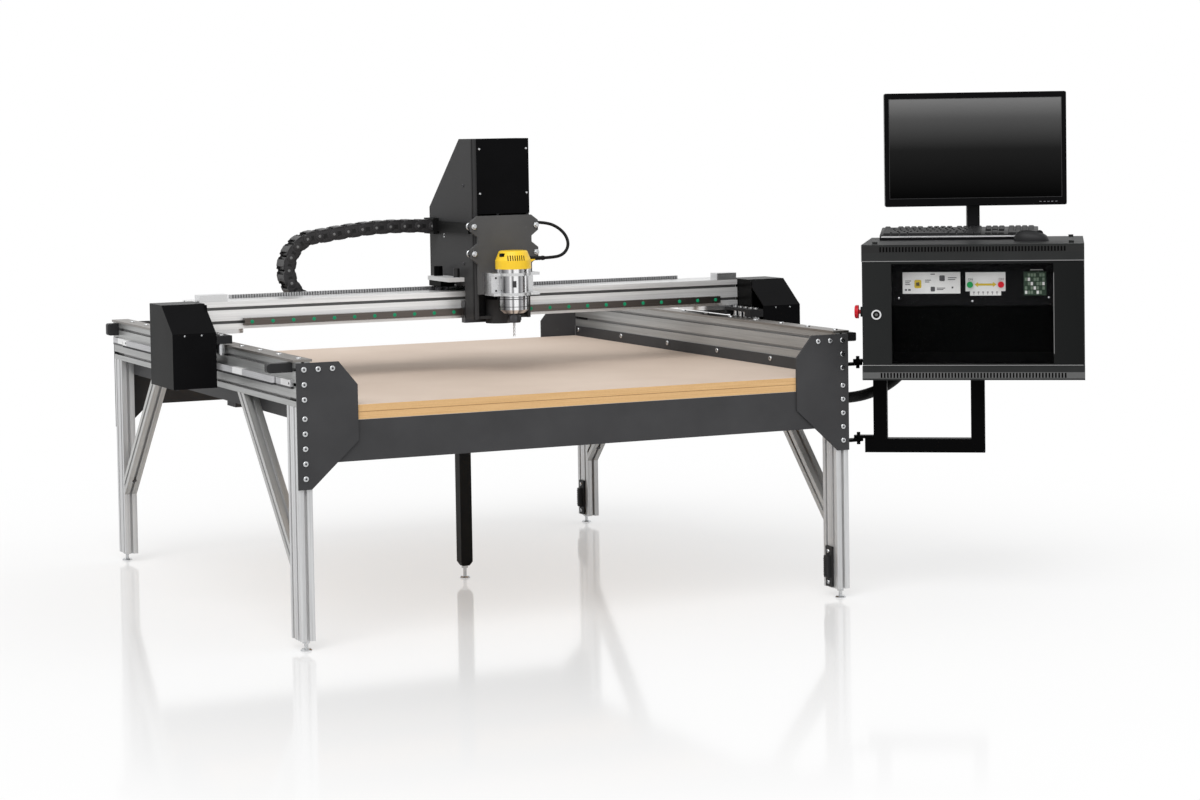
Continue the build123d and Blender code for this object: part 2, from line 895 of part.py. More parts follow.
def swing_hinges():
    """Brackets with pivot pins on the table, for the swing frame."""
    pieces = []
    for top in (pivot_upper_z, frame_top - tongue_gap):
        low = top - tongue_thick
        arm = Pos(pivot_x, pivot_y, low) * tongue(-pivot_out)
        pin_z = (low - pivot_pin_over, top + tongue_thick + pivot_pin_over)
        pin = rod_z(pivot_x, pivot_y, pin_z, pivot_pin_r)
        middle = (low + top) / 2
        pad = span(
            (half_table, half_table + pivot_pad_thick),
            (pivot_y - pivot_pad_half, pivot_y + pivot_pad_half),
            (middle - pivot_pad_half, middle + pivot_pad_half),
        )
        pieces.append(arm + pin + pad)
    parts["swing_brackets"] = pieces


def gantry_beam():
    """Beam, linear rail and X rack."""
    bar = slotted_bar(beam_tall_cells, beam_deep_cells, beam_length)
    place = Pos(-beam_half, (beam_front + beam_back) / 2, (beam_bottom + beam_top) / 2)
    parts["gantry_beam"] = [place * Rot(0, 90, 0) * bar]
    height = (linear_z - linear_wide / 2, linear_z + linear_wide / 2)
    rail = span((linear_left, linear_right), (beam_front - linear_tall, beam_front), height)
    outline = rack_outline(-x_rack_half, x_rack_half, x_pinion_x, x_module)
    points = [(along, x_rack_y - out) for along, out in outline]
    parts["x_rail_and_rack"] = [rail, plate_xy(points, (beam_top, beam_top + x_rack_tall))]


def trucks():
    """Truck blocks with roller posts and motor shelves, and the bright fittings at the beam's ends."""
    blocks = []
    fittings = []
    arm_top = truck_top + arm_rise
    arm_back = beam_front - cover_gap
    front_end = truck_front + truck_front_deep
    rear_start = arm_back - truck_lap
    posts_y = [truck_front + arm_post_first + k * arm_post_pitch for k in range(arm_post_count)]
    axle_y = truck_front + roller_in
    low_end = roller_low - axle_head_tall
    for side in (-1, 1):
        x = side * roller_x
        across = (side * truck_inner, side * beam_half)
        block = span(across, (truck_front, front_end), (truck_low, arm_top))
        block += span(across, (front_end, arm_back), (truck_top, arm_top))
        block += span(across, (rear_start, beam_back + truck_behind), (truck_low, truck_top))
        shelf_x = (side * beam_half, side * (cover_outer - cover_wall))
        shelf_y = (cover_front + cover_wall, cover_back - cover_wall)
        block += span(shelf_x, shelf_y, (truck_low, truck_low + motor_shelf_thick))
        shaft_hole = drive_shaft_r + drive_shaft_room
        block -= rod_z(side * pinion_x, pinion_y, (truck_low, truck_top), shaft_hole)
        block -= [rod_z(x, y, (truck_low, arm_top), axle_r + hole_play) for y in [axle_y] + posts_y]
        blocks.append(block)
        for y in posts_y[:-1]:
            post = rod_z(x, y, (roller_low, truck_top), axle_collar_r)
            post += rod_z(x, y, (truck_top, arm_top), axle_r)
            fittings.append(post + rod_z(x, y, (arm_top, arm_top + axle_head_tall), axle_collar_r))
        for y, under in ((axle_y, truck_low), (posts_y[-1], truck_top)):
            axle = rod_z(x, y, (low_end, arm_top), axle_r)
            axle += rod_z(x, y, (low_end, roller_low - running_gap), axle_collar_r)
            axle += rod_z(x, y, (roller_top + running_gap, under), axle_collar_r)
            fittings.append(axle + rod_z(x, y, (arm_top, arm_top + axle_head_tall), axle_collar_r))
        plate_x = (side * (beam_half - truck_plate_long), side * beam_half)
        plate = span(plate_x, (beam_front, beam_back), (truck_top, beam_bottom))
        inner = plate.edges().filter_by(Axis.Z).sort_by(Axis.X)
        plate = fillet(inner[-2:] if side < 0 else inner[:2], truck_plate_round)
        end_x = beam_half - end_block_inset
        end_block_long = left_end_block_long if side < 0 else right_end_block_long
        end_block = span(
            (side * end_x, side * (end_x - end_block_long)),
            (beam_front, beam_front + end_block_deep),
            (beam_top, beam_top + end_block_tall),
        )
        fittings += [plate, end_block]
    parts["truck_blocks"] = blocks
    parts["beam_fittings"] = fittings
    names = {-1: "left", 1: "right"}
    for side in (-1, 1):
        for y, word in ((axle_y, "front"), (posts_y[-1], "rear")):
            wheel = rod_z(side * roller_x, y, (roller_low, roller_top), roller_r)
            wheel -= rod_z(side * roller_x, y, (roller_low, roller_top), axle_r + shaft_play)
            parts[f"{names[side]}_{word}_roller"] = [wheel]


def cover_outline(inset):
    """Outline of a drive cover's side, drawn in by inset."""
    slope = math.atan2(cover_top - cover_knee, cover_slope)
    front = cover_front + inset
    knee = cover_knee + (inset * math.sin(slope) - inset) / math.cos(slope)
    top_turn = cover_front + cover_slope + inset * math.tan(slope / 2)
    back = cover_back - inset
    low = cover_low - inset
    high = cover_top - inset
    return [(front, low), (front, knee), (top_turn, high), (back, high), (back, low)]


def drives():
    """Drive covers, motors and pinions of the gantry."""
    covers = []
    motors = []
    names = {-1: "left", 1: "right"}
    shelf_top_z = truck_low + motor_shelf_thick
    rack_z = slot_z[len(slot_z) // 2]
    gear_thick = rack_tall - pinion_slack
    gear_low = rack_z - gear_thick / 2
    for side in (-1, 1):
        shell = plate_yz(cover_outline(0), (side * cover_inner, side * cover_outer))
        room_x = (side * cover_inner, side * (cover_outer - cover_wall))
        shell -= plate_yz(cover_outline(cover_wall), room_x)
        wall_y = (cover_back - cover_wall, cover_back - cover_inner_wall)
        wall_x = (side * cover_inner, side * (cover_inner + cover_wall))
        shell += span(wall_x, wall_y, (shelf_top_z, cover_top - cover_wall))
        covers.append(shell)
        half = drive_motor_wide / 2
        height = (shelf_top_z, shelf_top_z + drive_motor_tall)
        motor_x = (side * pinion_x - half, side * pinion_x + half)
        motor = span(motor_x, (pinion_y - half, pinion_y + half), height)
        bore = (shelf_top_z, shelf_top_z + drive_shaft_bore + running_gap)
        motors.append(motor - rod_z(side * pinion_x, pinion_y, bore, drive_shaft_r + shaft_play))
        aim = 180 if side > 0 else 0
        teeth = gear(y_module, y_pinion_teeth, gear_thick, aim)
        shaft_z = (gear_low, shelf_top_z + drive_shaft_bore)
        pinion = Pos(side * pinion_x, pinion_y, gear_low) * teeth
        pinion += rod_z(side * pinion_x, pinion_y, shaft_z, drive_shaft_r)
        parts[f"{names[side]}_pinion"] = [pinion]
    parts["drive_covers"] = covers
    parts["drive_motors"] = motors


def chain_link(length):
    """One chain link along X, centred on the origin, with its narrower pin block."""
    shell = Box(length - chain_link_gap, chain_wide, chain_tall)
    return shell + Box(length, chain_pin_wide, chain_pin_tall)


def straight_chain(start, end):
    """Row of links between two (X, Z) points, as one piece."""
    run = Vector(end[0] - start[0], 0, end[1] - start[1])
    count = max(1, round(run.length / chain_pitch))
    tilt = -math.degrees(math.atan2(run.Z, run.X))
    step = run.length / count
    row = [Pos((k + 0.5) * step, 0, 0) * chain_link(step) for k in range(count)]
    joined = row[0] + row[1:] if count > 1 else row[0]
    return Pos(start[0], chain_y, start[1]) * Rot(0, tilt, 0) * joined


def curved_chain(first, last):
    """Links round the bend from angle first to last, measured from straight up towards -X."""
    arc = math.radians(last - first) * chain_radius
    count = max(1, round(arc / chain_pitch))
    step = (last - first) / count
    gap = math.degrees(chain_link_gap / chain_radius)
    at_top = Plane.YZ * Pos(0, chain_radius)
    core = at_top * Rectangle(chain_pin_wide, chain_pin_tall)
    shell = at_top * Rectangle(chain_wide, chain_tall)
    bend = Rot(0, -last, 0) * revolve(core, Axis.Y, last - first)
    for k in range(count):
        bend += Rot(0, -first - (k + 1) * step + gap / 2, 0) * revolve(shell, Axis.Y, step - gap)
    return Pos(chain_bend_x, chain_y, chain_bend_z) * bend


def cable_chain():
    """Chain tray on the beam and the chain's two runs and two half bends."""
    low = tray_z - tray_wall
    right = chain_fixed_x + tray_end_thick
    outer = chain_y + chain_wide / 2 + chain_gap / 2
    along = (tray_left, right)
    tray = span(along, (beam_back, outer), (low, tray_z))
    tray += span(along, (beam_back, beam_back + tray_wall), (low, low + tray_flange))
    tray += span(along, (outer - tray_wall, outer), (low, low + tray_lip))
    anchor_y = (chain_y - chain_wide / 2, chain_y + chain_wide / 2)
    tray += span((chain_fixed_x, right), anchor_y, (tray_z, chain_low_z + chain_tall / 2))
    parts["chain_tray"] = [tray]
    upper_start = (chain_bend_x - chain_link_gap, chain_bend_z + chain_radius)
    bracket_face = side_left - bracket_thick
    upper = straight_chain(upper_start, (bracket_face + chain_link_gap, chain_bracket_z))
    clear_z = (chain_bend_z, chain_bracket_z + chain_pitch)
    upper -= span((bracket_face, bracket_face + chain_pitch), anchor_y, clear_z)
    bend_face = chain_bend_x + running_gap
    upper -= span((bend_face - chain_pitch, bend_face), anchor_y, clear_z)
    parts["chain_upper_run"] = [upper]
    parts["chain_lower_run"] = [straight_chain((bend_face, chain_low_z), (chain_fixed_x, chain_low_z))]
    half_gap = math.degrees(running_gap / chain_radius)
    parts["chain_bend_upper"] = [curved_chain(0, 90 - half_gap)]
    parts["chain_bend_lower"] = [curved_chain(90 + half_gap, 180)]


def housing_side(x):
    """Side plate of the Z housing, hooked over the beam."""
    points = [(housing_front, housing_low), (housing_front, housing_top)]
    points += [(housing_front + housing_roof, housing_top), (housing_back, housing_shoulder)]
    points += [(housing_back, housing_floor), (web_back, housing_floor), (web_back, housing_low)]
    return plate_yz(points, x)


def z_housing():
    """Side plates, web, roof, slope, back, shelf, foot, V rails, chain bracket and duct."""
    inner = (side_left + housing_wall, side_right - housing_wall)
    roof_back = housing_front + housing_roof
    solids = [housing_side((side_left, inner[0])), housing_side((inner[1], side_right))]
    solids.append(span(inner, (housing_front, roof_back), (housing_top - housing_wall, housing_top)))
    roof_low = housing_top - slope_inset
    back_low = housing_shoulder - slope_inset
    slope_points = [(roof_back, roof_low), (housing_back, back_low)]
    slope_points += [(housing_back, back_low - housing_wall), (roof_back, roof_low - housing_wall)]
    solids.append(plate_yz(slope_points, inner))
    rear = (housing_back - housing_wall, housing_back)
    solids.append(span(inner, rear, (housing_floor, back_low - housing_wall)))
    solids.append(span(inner, (web_front, web_back), (housing_low, web_top)))
    shelf = span(inner, (housing_front, web_back), (shelf_z, shelf_top))
    solids.append(shelf - rod_z(carriage_x, screw_y, (shelf_z, shelf_top), screw_r + screw_room))
    foot_top = housing_low + foot_plate_thick
    foot = span(inner, (housing_front, web_front), (housing_low, foot_top))
    foot += rod_z(carriage_x, screw_y, (foot_boss_low, foot_boss_top), foot_boss_r)
    foot -= span(inner, (web_front, web_back), (foot_boss_low, foot_boss_top))
    bore = (foot_boss_top - foot_bore_deep, foot_boss_top)
    solids.append(foot - rod_z(carriage_x, screw_y, bore, screw_r + shaft_play))
    for side in (-1, 1):
        edge = carriage_x + side * housing_wide / 2
        root = edge - side * v_rail_thick / 2
        inside = edge - side * v_rail_wide
        points = [(edge, wheel_y - v_rail_tip / 2), (edge, wheel_y + v_rail_tip / 2)]
        points += [(root, housing_front), (inside, housing_front)]
        points += [(inside, v_rail_front), (root, v_rail_front)]
        solids.append(plate_xy(points, (housing_low, housing_top)))
    bracket = (side_left - bracket_thick, side_left)
    bracket_y = (housing_back - bracket_deep, housing_back)
    half = bracket_tall / 2
    solids.append(span(bracket, bracket_y, (chain_bracket_z - half, chain_bracket_z + half)))
    duct = (side_left - duct_thick, side_left)
    duct_y = (housing_front + duct_front_gap, housing_back - bracket_deep)
    half = duct_tall / 2
    solids.append(span(duct, duct_y, (chain_bracket_z - half, chain_bracket_z + half)))
    parts["z_housing"] = solids
    left = side_left + v_rail_wide
    cover_z = (z_cover_low, housing_top)
    cover_y = (v_rail_front - z_cover_thick, v_rail_front)
    parts["z_cover"] = [span((left, side_right - z_cover_edge), cover_y, cover_z)]


def bearing_blocks():
    """Two bearing blocks on the linear rail."""
    blocks = []
    for side in (-1, 1):
        middle = carriage_x + side * bearing_spread
        across = (middle - bearing_long / 2, middle + bearing_long / 2)
        height = (linear_z - bearing_wide / 2, linear_z + bearing_wide / 2)
        block = span(across, (web_back, beam_front - bearing_lift), height)
        groove_half = linear_wide / 2 + running_gap
        groove_y = (beam_front - linear_tall - running_gap, beam_front)
        blocks.append(block - span(across, groove_y, (linear_z - groove_half, linear_z + groove_half)))
    parts["bearing_blocks"] = blocks


def carriage_drives():
    """X drive plate, X gearbox, X and Z motors, X pinion and lead screw."""
    plate_top = x_plate_low + x_plate_thick
    plate_y = (x_pinion_y - x_plate_ahead, x_pinion_y + x_plate_behind)
    plate = span((side_left - x_plate_wide, side_left), plate_y, (x_plate_low, plate_top))
    hole_r = x_shaft_r + x_pinion_gap
    plate -= rod_z(x_pinion_x, x_pinion_y, (x_plate_low, plate_top), hole_r)
    post_z = (plate_top, plate_top + x_post_tall)
    plate += rod_z(side_left - x_post_in, plate_y[0] + x_post_in, post_z, x_post_r)
    parts["x_drive_plate"] = [plate]
    gearbox_z = (beam_top + x_rack_tall + gearbox_gap, x_plate_low)
    gearbox_y = (x_pinion_y - gearbox_ahead, x_pinion_y + x_plate_behind)
    gearbox = span((side_left - gearbox_wide, side_left), gearbox_y, gearbox_z)
    gearbox -= rod_z(x_pinion_x, x_pinion_y, gearbox_z, hole_r)
    motor = rod_z(x_pinion_x, x_pinion_y, (plate_top, plate_top + x_motor_tall), x_motor_r)
    bore = (plate_top, plate_top + x_shaft_bore + running_gap)
    motor -= rod_z(x_pinion_x, x_pinion_y, bore, x_shaft_r + shaft_play)
    half = z_motor_wide / 2
    z_motor_x = (carriage_x - half, carriage_x + half)
    z_motor = span(z_motor_x, (screw_y - half, screw_y + half), (shelf_top, shelf_top + z_motor_tall))
    bore = (shelf_top, shelf_top + screw_bore + running_gap)
    z_motor -= rod_z(carriage_x, screw_y, bore, screw_r + shaft_play)
    parts["carriage_motors"] = [motor, gearbox, z_motor]
    gear_low = beam_top + (x_rack_tall - x_pinion_thick) / 2
    pinion = Pos(x_pinion_x, x_pinion_y, gear_low) * gear(x_module, x_pinion_teeth, x_pinion_thick, 90)
    pinion += rod_z(x_pinion_x, x_pinion_y, (gear_low, plate_top + x_shaft_bore), x_shaft_r)
    parts["x_pinion"] = [pinion]
    screw_low = foot_boss_top - foot_bore_deep + running_gap
    parts["lead_screw"] = [rod_z(carriage_x, screw_y, (screw_low, shelf_top + screw_bore), screw_r)]


def z_plate_outline():
    """Right half of the Z plate's outline, from the top down, as half width and height."""
    points = [(z_plate_waist, z_plate_top)]
    for middle in (ear_high_z, ear_low_z):
        points += [(z_plate_waist, middle + ear_flat + ear_slope), (z_plate_ear, middle + ear_flat)]
        points += [(z_plate_ear, middle - ear_flat), (z_plate_waist, middle - ear_flat - ear_slope)]
    return [p for p in points if p[1] <= z_plate_top] + [(z_plate_waist, z_plate_low)]


def z_plate_and_wheels():
    """Z plate with wheel axles and screw nut, and its four V wheels."""
    half = z_plate_outline()
    points = [(carriage_x + x, z) for x, z in half] + [(carriage_x - x, z) for x, z in reversed(half)]
    plate = plate_xz(points, (z_plate_front, z_plate_back))
    nut_x = (carriage_x - nut_wide / 2, carriage_x + nut_wide / 2)
    nut = span(nut_x, (z_plate_back, screw_y + nut_behind), (nut_z, nut_z + nut_tall))
    plate += nut - rod_z(carriage_x, screw_y, (nut_z, nut_z + nut_tall), screw_r + running_gap)
    wheel_front = wheel_y - wheel_thick / 2
    wheel_back = wheel_y + wheel_thick / 2
    nut_end = wheel_back + running_gap + wheel_nut_tall
    names = {-1: "left", 1: "right"}
    rim = wheel_rim_r - wheel_groove_r
    for side in (-1, 1):
        x = carriage_x + side * wheel_out
        for z, word in ((ear_high_z, "upper"), (ear_low_z, "lower")):
            plate += rod_y(x, (z_plate_front, nut_end), z, wheel_bolt_r)
            plate += rod_y(x, (z_plate_front - bolt_head_tall, z_plate_front), z, bolt_head_r)
            plate += rod_y(x, (z_plate_back, wheel_front - running_gap), z, wheel_nut_r)
            plate += rod_y(x, (wheel_back + running_gap, nut_end), z, wheel_nut_r)
            bore = wheel_bolt_r + shaft_play
            section = [(bore, -wheel_thick / 2), (wheel_rim_r, -wheel_thick / 2)]
            section += [(wheel_rim_r, -wheel_groove_half - rim), (wheel_groove_r, -wheel_groove_half)]
            section += [(r, -h) for r, h in reversed(section)]
            wheel = revolve(Plane.XZ * Polygon(*section, align=None), Axis.Z)
            parts[f"{names[side]}_{word}_wheel"] = [Pos(x, wheel_y, z) * Rot(90, 0, 0) * wheel]
    parts["z_plate"] = [plate]


def router():
    """Router body, cap with vents and spout, switch, clamp, collet with bit, and cord."""
    axis = Pos(carriage_x, router_y, 0)
    inner = spindle_r + shaft_play
    nose_low = router_low - router_nose_tall
    bore_top = nose_low + router_bore_deep
    section = [(inner, nose_low), (router_nose_r, nose_low), (router_r, router_low)]
    section += [(router_r, router_top), (ring_r, router_top), (ring_r, cap_low)]
    section += [(0, cap_low), (0, bore_top), (inner, bore_top)]
    parts["router_body"] = [axis * revolve(Plane.XZ * Polygon(*section, align=None), Axis.Z)]
    cap_high = cap_low + cap_tall
    section = [(0, cap_low), (cap_r, cap_low), (cap_r, cap_low + cap_shoulder)]
    section += [(cap_top_r, cap_high), (0, cap_high)]
    cap = revolve(Plane.XZ * Polygon(*section, align=None), Axis.Z)
    cap = fillet(cap.edges().group_by(Axis.Z)[-1], cap_round)
    vent_z = (cap_low + cap_shoulder, cap_low + cap_shoulder + vent_tall)
    for k in range(vent_count):
        x = (k - (vent_count - 1) / 2) * vent_pitch
        vent_y = (-cap_r, vent_deep - cap_r)
        slot = span((x - vent_wide / 2, x + vent_wide / 2), vent_y, vent_z)
        cap -= Rot(0, 0, vent_turn) * slot
    spout_z = cap_low + spout_top
    section = [(cap_r - spout_in, spout_z), (cap_r + spout_long, spout_z)]
    section += [(cap_r + spout_long, spout_z - spout_lip), (cap_r - spout_in, spout_z - spout_tall)]
    cap += extrude(Plane.XZ * Polygon(*section, align=None), spout_wide / 2, both=True)
    turned = Rot(0, 0, switch_turn)
    switch_z = cap_low + switch_rise
    reach = switch_wide / 2 + switch_travel + running_gap
    seat_z = (switch_z - switch_tall / 2 - running_gap, switch_z + switch_tall / 2 + running_gap)
    seat_y = (-switch_wide / 2 - running_gap, reach)
    cap = axis * (cap - turned * span((switch_seat, cap_r), seat_y, seat_z))
    parts["router_cap"] = [cap]
    switch_x = (switch_seat + running_gap, switch_seat + running_gap + switch_thick)
    switch_height = (switch_z - switch_tall / 2, switch_z + switch_tall / 2)
    switch_y = (-switch_wide / 2, switch_wide / 2)
    parts["router_switch"] = [axis * turned * span(switch_x, switch_y, switch_height)]
    parts["router_clamp"] = [router_clamp()]
    nut = extrude(RegularPolygon(collet_nut_r, 6), collet_nut_top - collet_nut_low, dir=(0, 0, 1))
    spindle = Pos(0, 0, collet_nut_low) * nut
    spindle += rod_z(0, 0, (collet_nut_low, bore_top - running_gap), spindle_r)
    spindle += rod_z(0, 0, (bit_tip, collet_nut_low), bit_r)
    parts["collet_bit"] = [axis * spindle]
    relief_z = cap_low + cord_high
    relief_x = carriage_x + cap_r - relief_in
    relief = Cone(relief_start_r, relief_r, relief_long, align=on_floor)
    relief = Pos(relief_x, router_y, relief_z) * Rot(0, 90, 0) * relief - cap
    start = (relief_x + relief_long, router_y, relief_z)
    ear = carriage_x + z_plate_ear
    middle_y = (z_plate_front + z_plate_back) / 2
    route = [start]
    for out, behind, rise in cord_route:
        route.append((start[0] + out, router_y + behind, relief_z + rise))
    route.append((ear - cord_r, middle_y, ear_high_z + ear_flat / 2))
    cord = cord_tube("router_cord", route, cord_r)
    ear_y = (middle_y - z_plate_thick, middle_y + z_plate_thick)
    ear_z = (ear_high_z - ear_flat, ear_high_z + 2 * ear_flat)
    parts["router_cord"] = [relief, cord - span((ear - z_plate_ear, ear), ear_y, ear_z)]


def router_clamp():
    """Split clamp that holds the router on the Z plate."""
    left = carriage_x - clamp_left
    right = carriage_x + clamp_right
    back = z_plate_front
    front = router_y - clamp_ahead
    block = span((left, right), (back, back - clamp_back), (clamp_low, clamp_top))
    for low in (clamp_low, clamp_top - clamp_arm_tall):
        height = (low, low + clamp_arm_tall)
        block += span((left, right), (back, front), height)
        block += rod_z(carriage_x, router_y, height, router_r + clamp_wall)
    ear_y = (back - clamp_back, back - clamp_back - clamp_ear_deep)
    block += span((left, left + clamp_ear_wide), ear_y, (clamp_low, clamp_top))
    for z in (clamp_low + clamp_hole_in, clamp_top - clamp_hole_in):
        block -= rod_y(left + clamp_hole_in, (ear_y[1], ear_y[1] + clamp_hole_deep), z, clamp_hole_r)
    return block - rod_z(carriage_x, router_y, (clamp_low, clamp_top), router_r + hole_play)


def swing_frame():
    """Tubes under the cabinet, hinge tongues and monitor stand."""
    v = (pivot_depth - tube / 2, pivot_depth + tube / 2)
    right = frame_right + tube
    bar_left = frame_left - frame_left_over
    frame = span((bar_left, right), v, (frame_low, frame_top))
    frame += span((frame_left, frame_left + tube), v, (frame_top, cabinet_low))
    frame += span((frame_right, right), v, (frame_top, cabinet_low))
    bore = pivot_pin_r + shaft_play
    tongues = []
    for low, reach in ((pivot_upper_z + tongue_gap, pivot_side), (frame_top, pivot_side + frame_left)):
        arm = Pos(-pivot_side, pivot_depth, low) * tongue(reach)
        tongues.append(arm - rod_z(-pivot_side, pivot_depth, (low, low + tongue_thick), bore))
    frame += tongues[1]
    parts["swing_frame"] = [cabinet_place * frame, cabinet_place * tongues[0]]


def cabinet():
    """Cabinet panels, top knobs, louvred front bands and emergency stop collar, and the rack panel inside."""
    full_u = (0, cabinet_wide)
    side_v = (wall_start, cabinet_deep)
    room_u = (sheet, cabinet_wide - sheet)
    wall_z = (cabinet_low + sheet, cabinet_top - sheet)
    floor = span(full_u, side_v, (cabinet_low, wall_z[0]))
    roof = span(full_u, side_v, (wall_z[1], cabinet_top))
    back = span(room_u, (cabinet_deep - sheet, cabinet_deep), wall_z)
    right = span((room_u[1], cabinet_wide), side_v, wall_z)
    left = span((0, sheet), side_v, wall_z)
    stem_bore = rod_x((-estop_collar_long, sheet), estop_v, estop_z, estop_stem_r + shaft_play)
    collar = rod_x((-estop_collar_long, 0), estop_v, estop_z, estop_collar_r)
    shell = [floor, roof, back, right, left - stem_bore, collar - stem_bore]
    for u in (knob_in, cabinet_wide - knob_in):
        for v in (wall_start + knob_in, cabinet_deep - knob_in):
            shell.append(rod_z(u, v, (cabinet_top, cabinet_top + knob_tall), knob_r))
    pin_u = cabinet_wide - door_pivot_in
    pin_v = door_thick / 2
    pin_z = (door_low - door_gap - door_pin_long, door_high + door_gap + door_pin_long)
    pin_hole = rod_z(pin_u, pin_v, pin_z, door_pin_r + shaft_play)
    top_louvres = (cabinet_top - louvre_edge - louvre_tall, cabinet_top - louvre_edge)
    low_louvres = (cabinet_low + louvre_edge, cabinet_low + louvre_edge + louvre_tall)
    for band_z, slots_z in (
        ((cabinet_top - lip_top, cabinet_top), top_louvres),
        ((cabinet_low, cabinet_low + lip_low), low_louvres),
    ):
        slots = []
        for k in range(louvre_count):
            u = cabinet_wide / 2 + (k - (louvre_count - 1) / 2) * louvre_pitch
            slots.append(span((u - louvre_wide / 2, u + louvre_wide / 2), (0, louvre_deep), slots_z))
        shell.append(span(full_u, (0, wall_start), band_z) - slots - pin_hole)
    parts["cabinet_shell"] = [cabinet_place * s for s in shell]
    panel_v = (rack_panel_v, rack_panel_v + sheet)
    panel = span(room_u, panel_v, (rack_panel_low, rack_panel_high))
    plate_v = (rack_panel_v - plate_stand, rack_panel_v)
    centre = span(centre_plate_u, plate_v, centre_plate_z)
    bore_v = (rack_panel_v - plate_stand, rack_panel_v + sheet)
    bores = [rod_y(u, bore_v, button_z, button_r + shaft_play) for u in (start_u, stop_u)]
    left_plate = span(left_plate_u, plate_v, left_plate_z)
    terminal = span(terminal_u, (rack_panel_v - terminal_stand, rack_panel_v), terminal_z)
    parts["rack_panel"] = [cabinet_place * s for s in (panel - bores, centre - bores, left_plate, terminal)]


def cabinet_door():
    """Door frame with hinge pins, its glass and its lock."""
    door_v = (0, door_thick)
    door = span((door_gap, cabinet_wide - door_gap), door_v, (door_low, door_high))
    hinge_edges = door.edges().filter_by(Axis.Z).sort_by(Axis.X)[-2:]
    door = fillet(hinge_edges, door_round)
    glass_u = (glass_left, glass_right)
    glass_z = (door_low + glass_edge, door_high - glass_edge)
    door -= span(glass_u, door_v, glass_z)
    door -= rod_y(lock_u, door_v, lock_z, lock_r + shaft_play)
    pin_u = cabinet_wide - door_pivot_in
    pin_v = door_thick / 2
    pin_reach = door_gap + door_pin_long - running_gap
    door += rod_z(pin_u, pin_v, (door_low - pin_reach, door_low), door_pin_r)
    door += rod_z(pin_u, pin_v, (door_high, door_high + pin_reach), door_pin_r)
    parts["door_frame"] = [cabinet_place * door]
    glass = span(glass_u, (glass_set, glass_set + glass_thick), glass_z)
    parts["door_glass"] = [cabinet_place * glass]
    lock = rod_y(lock_u, (-lock_stand, door_thick + lock_cam_thick), lock_z, lock_r)
    cam_z = (lock_z - lock_cam_long, lock_z)
    cam_u = (lock_u - lock_cam_wide / 2, lock_u + lock_cam_wide / 2)
    lock += span(cam_u, (door_thick + running_gap, door_thick + lock_cam_thick), cam_z)
    slot_u = (lock_u - lock_slot_wide / 2, lock_u + lock_slot_wide / 2)
    keyway_z = (lock_z - lock_r / 2, lock_z + lock_r / 2)
    lock -= span(slot_u, (-lock_stand, 0), keyway_z)
    parts["door_lock"] = [cabinet_place * lock]


def buttons():
    """Emergency stop, start button and stop button."""
    face = -estop_collar_long - estop_travel - running_gap
    stop = rod_x((face - estop_cap_long, face), estop_v, estop_z, estop_cap_r)
    stop = fillet(stop.edges().group_by(Axis.X)[0], estop_cap_round)
    stop += rod_x((face, sheet + estop_tail), estop_v, estop_z, estop_stem_r)
    parts["emergency_stop"] = [cabinet_place * stop]
    seat = rack_panel_v - plate_stand - button_travel - running_gap
    for name, u in (("start_button", start_u), ("stop_button", stop_u)):
        head = rod_y(u, (seat - button_head_tall, seat), button_z, button_head_r)
        stem = rod_y(u, (seat, rack_panel_v + sheet + button_tail), button_z, button_r)
        parts[name] = [cabinet_place * (head + stem)]


def monitor():
    """Monitor on a tilting eye, and its stand on the cabinet."""
    half = monitor_wide / 2
    body = span((-half, half), (0, monitor_thick), (monitor_low, monitor_high))
    body = fillet(body.edges().filter_by(Axis.Y), monitor_round)
    middle = (monitor_low + monitor_high) / 2
    hump_low = middle - monitor_hump_tall / 2
    hump_x = (-monitor_hump_wide / 2, monitor_hump_wide / 2)
    hump_y = (monitor_thick, monitor_thick + monitor_hump_thick)
    hump = span(hump_x, hump_y, (hump_low, hump_low + monitor_hump_tall))
    body += chamfer(hump.faces().sort_by(Axis.Y)[-1].edges(), monitor_hump_cut)
    eye_x = (-tilt_eye_wide / 2, tilt_eye_wide / 2)
    eye = rod_x(eye_x, tilt_back, tilt_z, tilt_eye_r)
    eye_z = (tilt_z - tilt_eye_r / 2, tilt_z + tilt_eye_r / 2)
    eye += span(eye_x, (hump_y[1], tilt_back), eye_z)
    body += eye - rod_x(eye_x, tilt_back, tilt_z, tilt_pin_r + shaft_play)
    parts["monitor"] = [monitor_place * body]
    neck_y = (tilt_back - neck_deep / 2, tilt_back + neck_deep / 2)
    neck_top = tilt_z - tilt_eye_r - running_gap
    stand_y = (tilt_back - stand_front, tilt_back - stand_front + stand_deep)
    stand_x = (-stand_wide / 2, stand_wide / 2)
    stand = span(stand_x, stand_y, (cabinet_top, cabinet_top + stand_thick))
    stand += span((-neck_wide / 2, neck_wide / 2), neck_y, (cabinet_top, neck_top))
    for side in (-1, 1):
        inner = side * (tilt_eye_wide / 2 + running_gap)
        cheek = (inner, inner + side * neck_fork)
        stand += span(cheek, neck_y, (neck_top, tilt_z))
        stand += rod_x(cheek, tilt_back, tilt_z, neck_deep / 2)
    stand += rod_x((-tilt_eye_wide, tilt_eye_wide), tilt_back, tilt_z, tilt_pin_r)
    parts["monitor_stand"] = [monitor_place * stand]


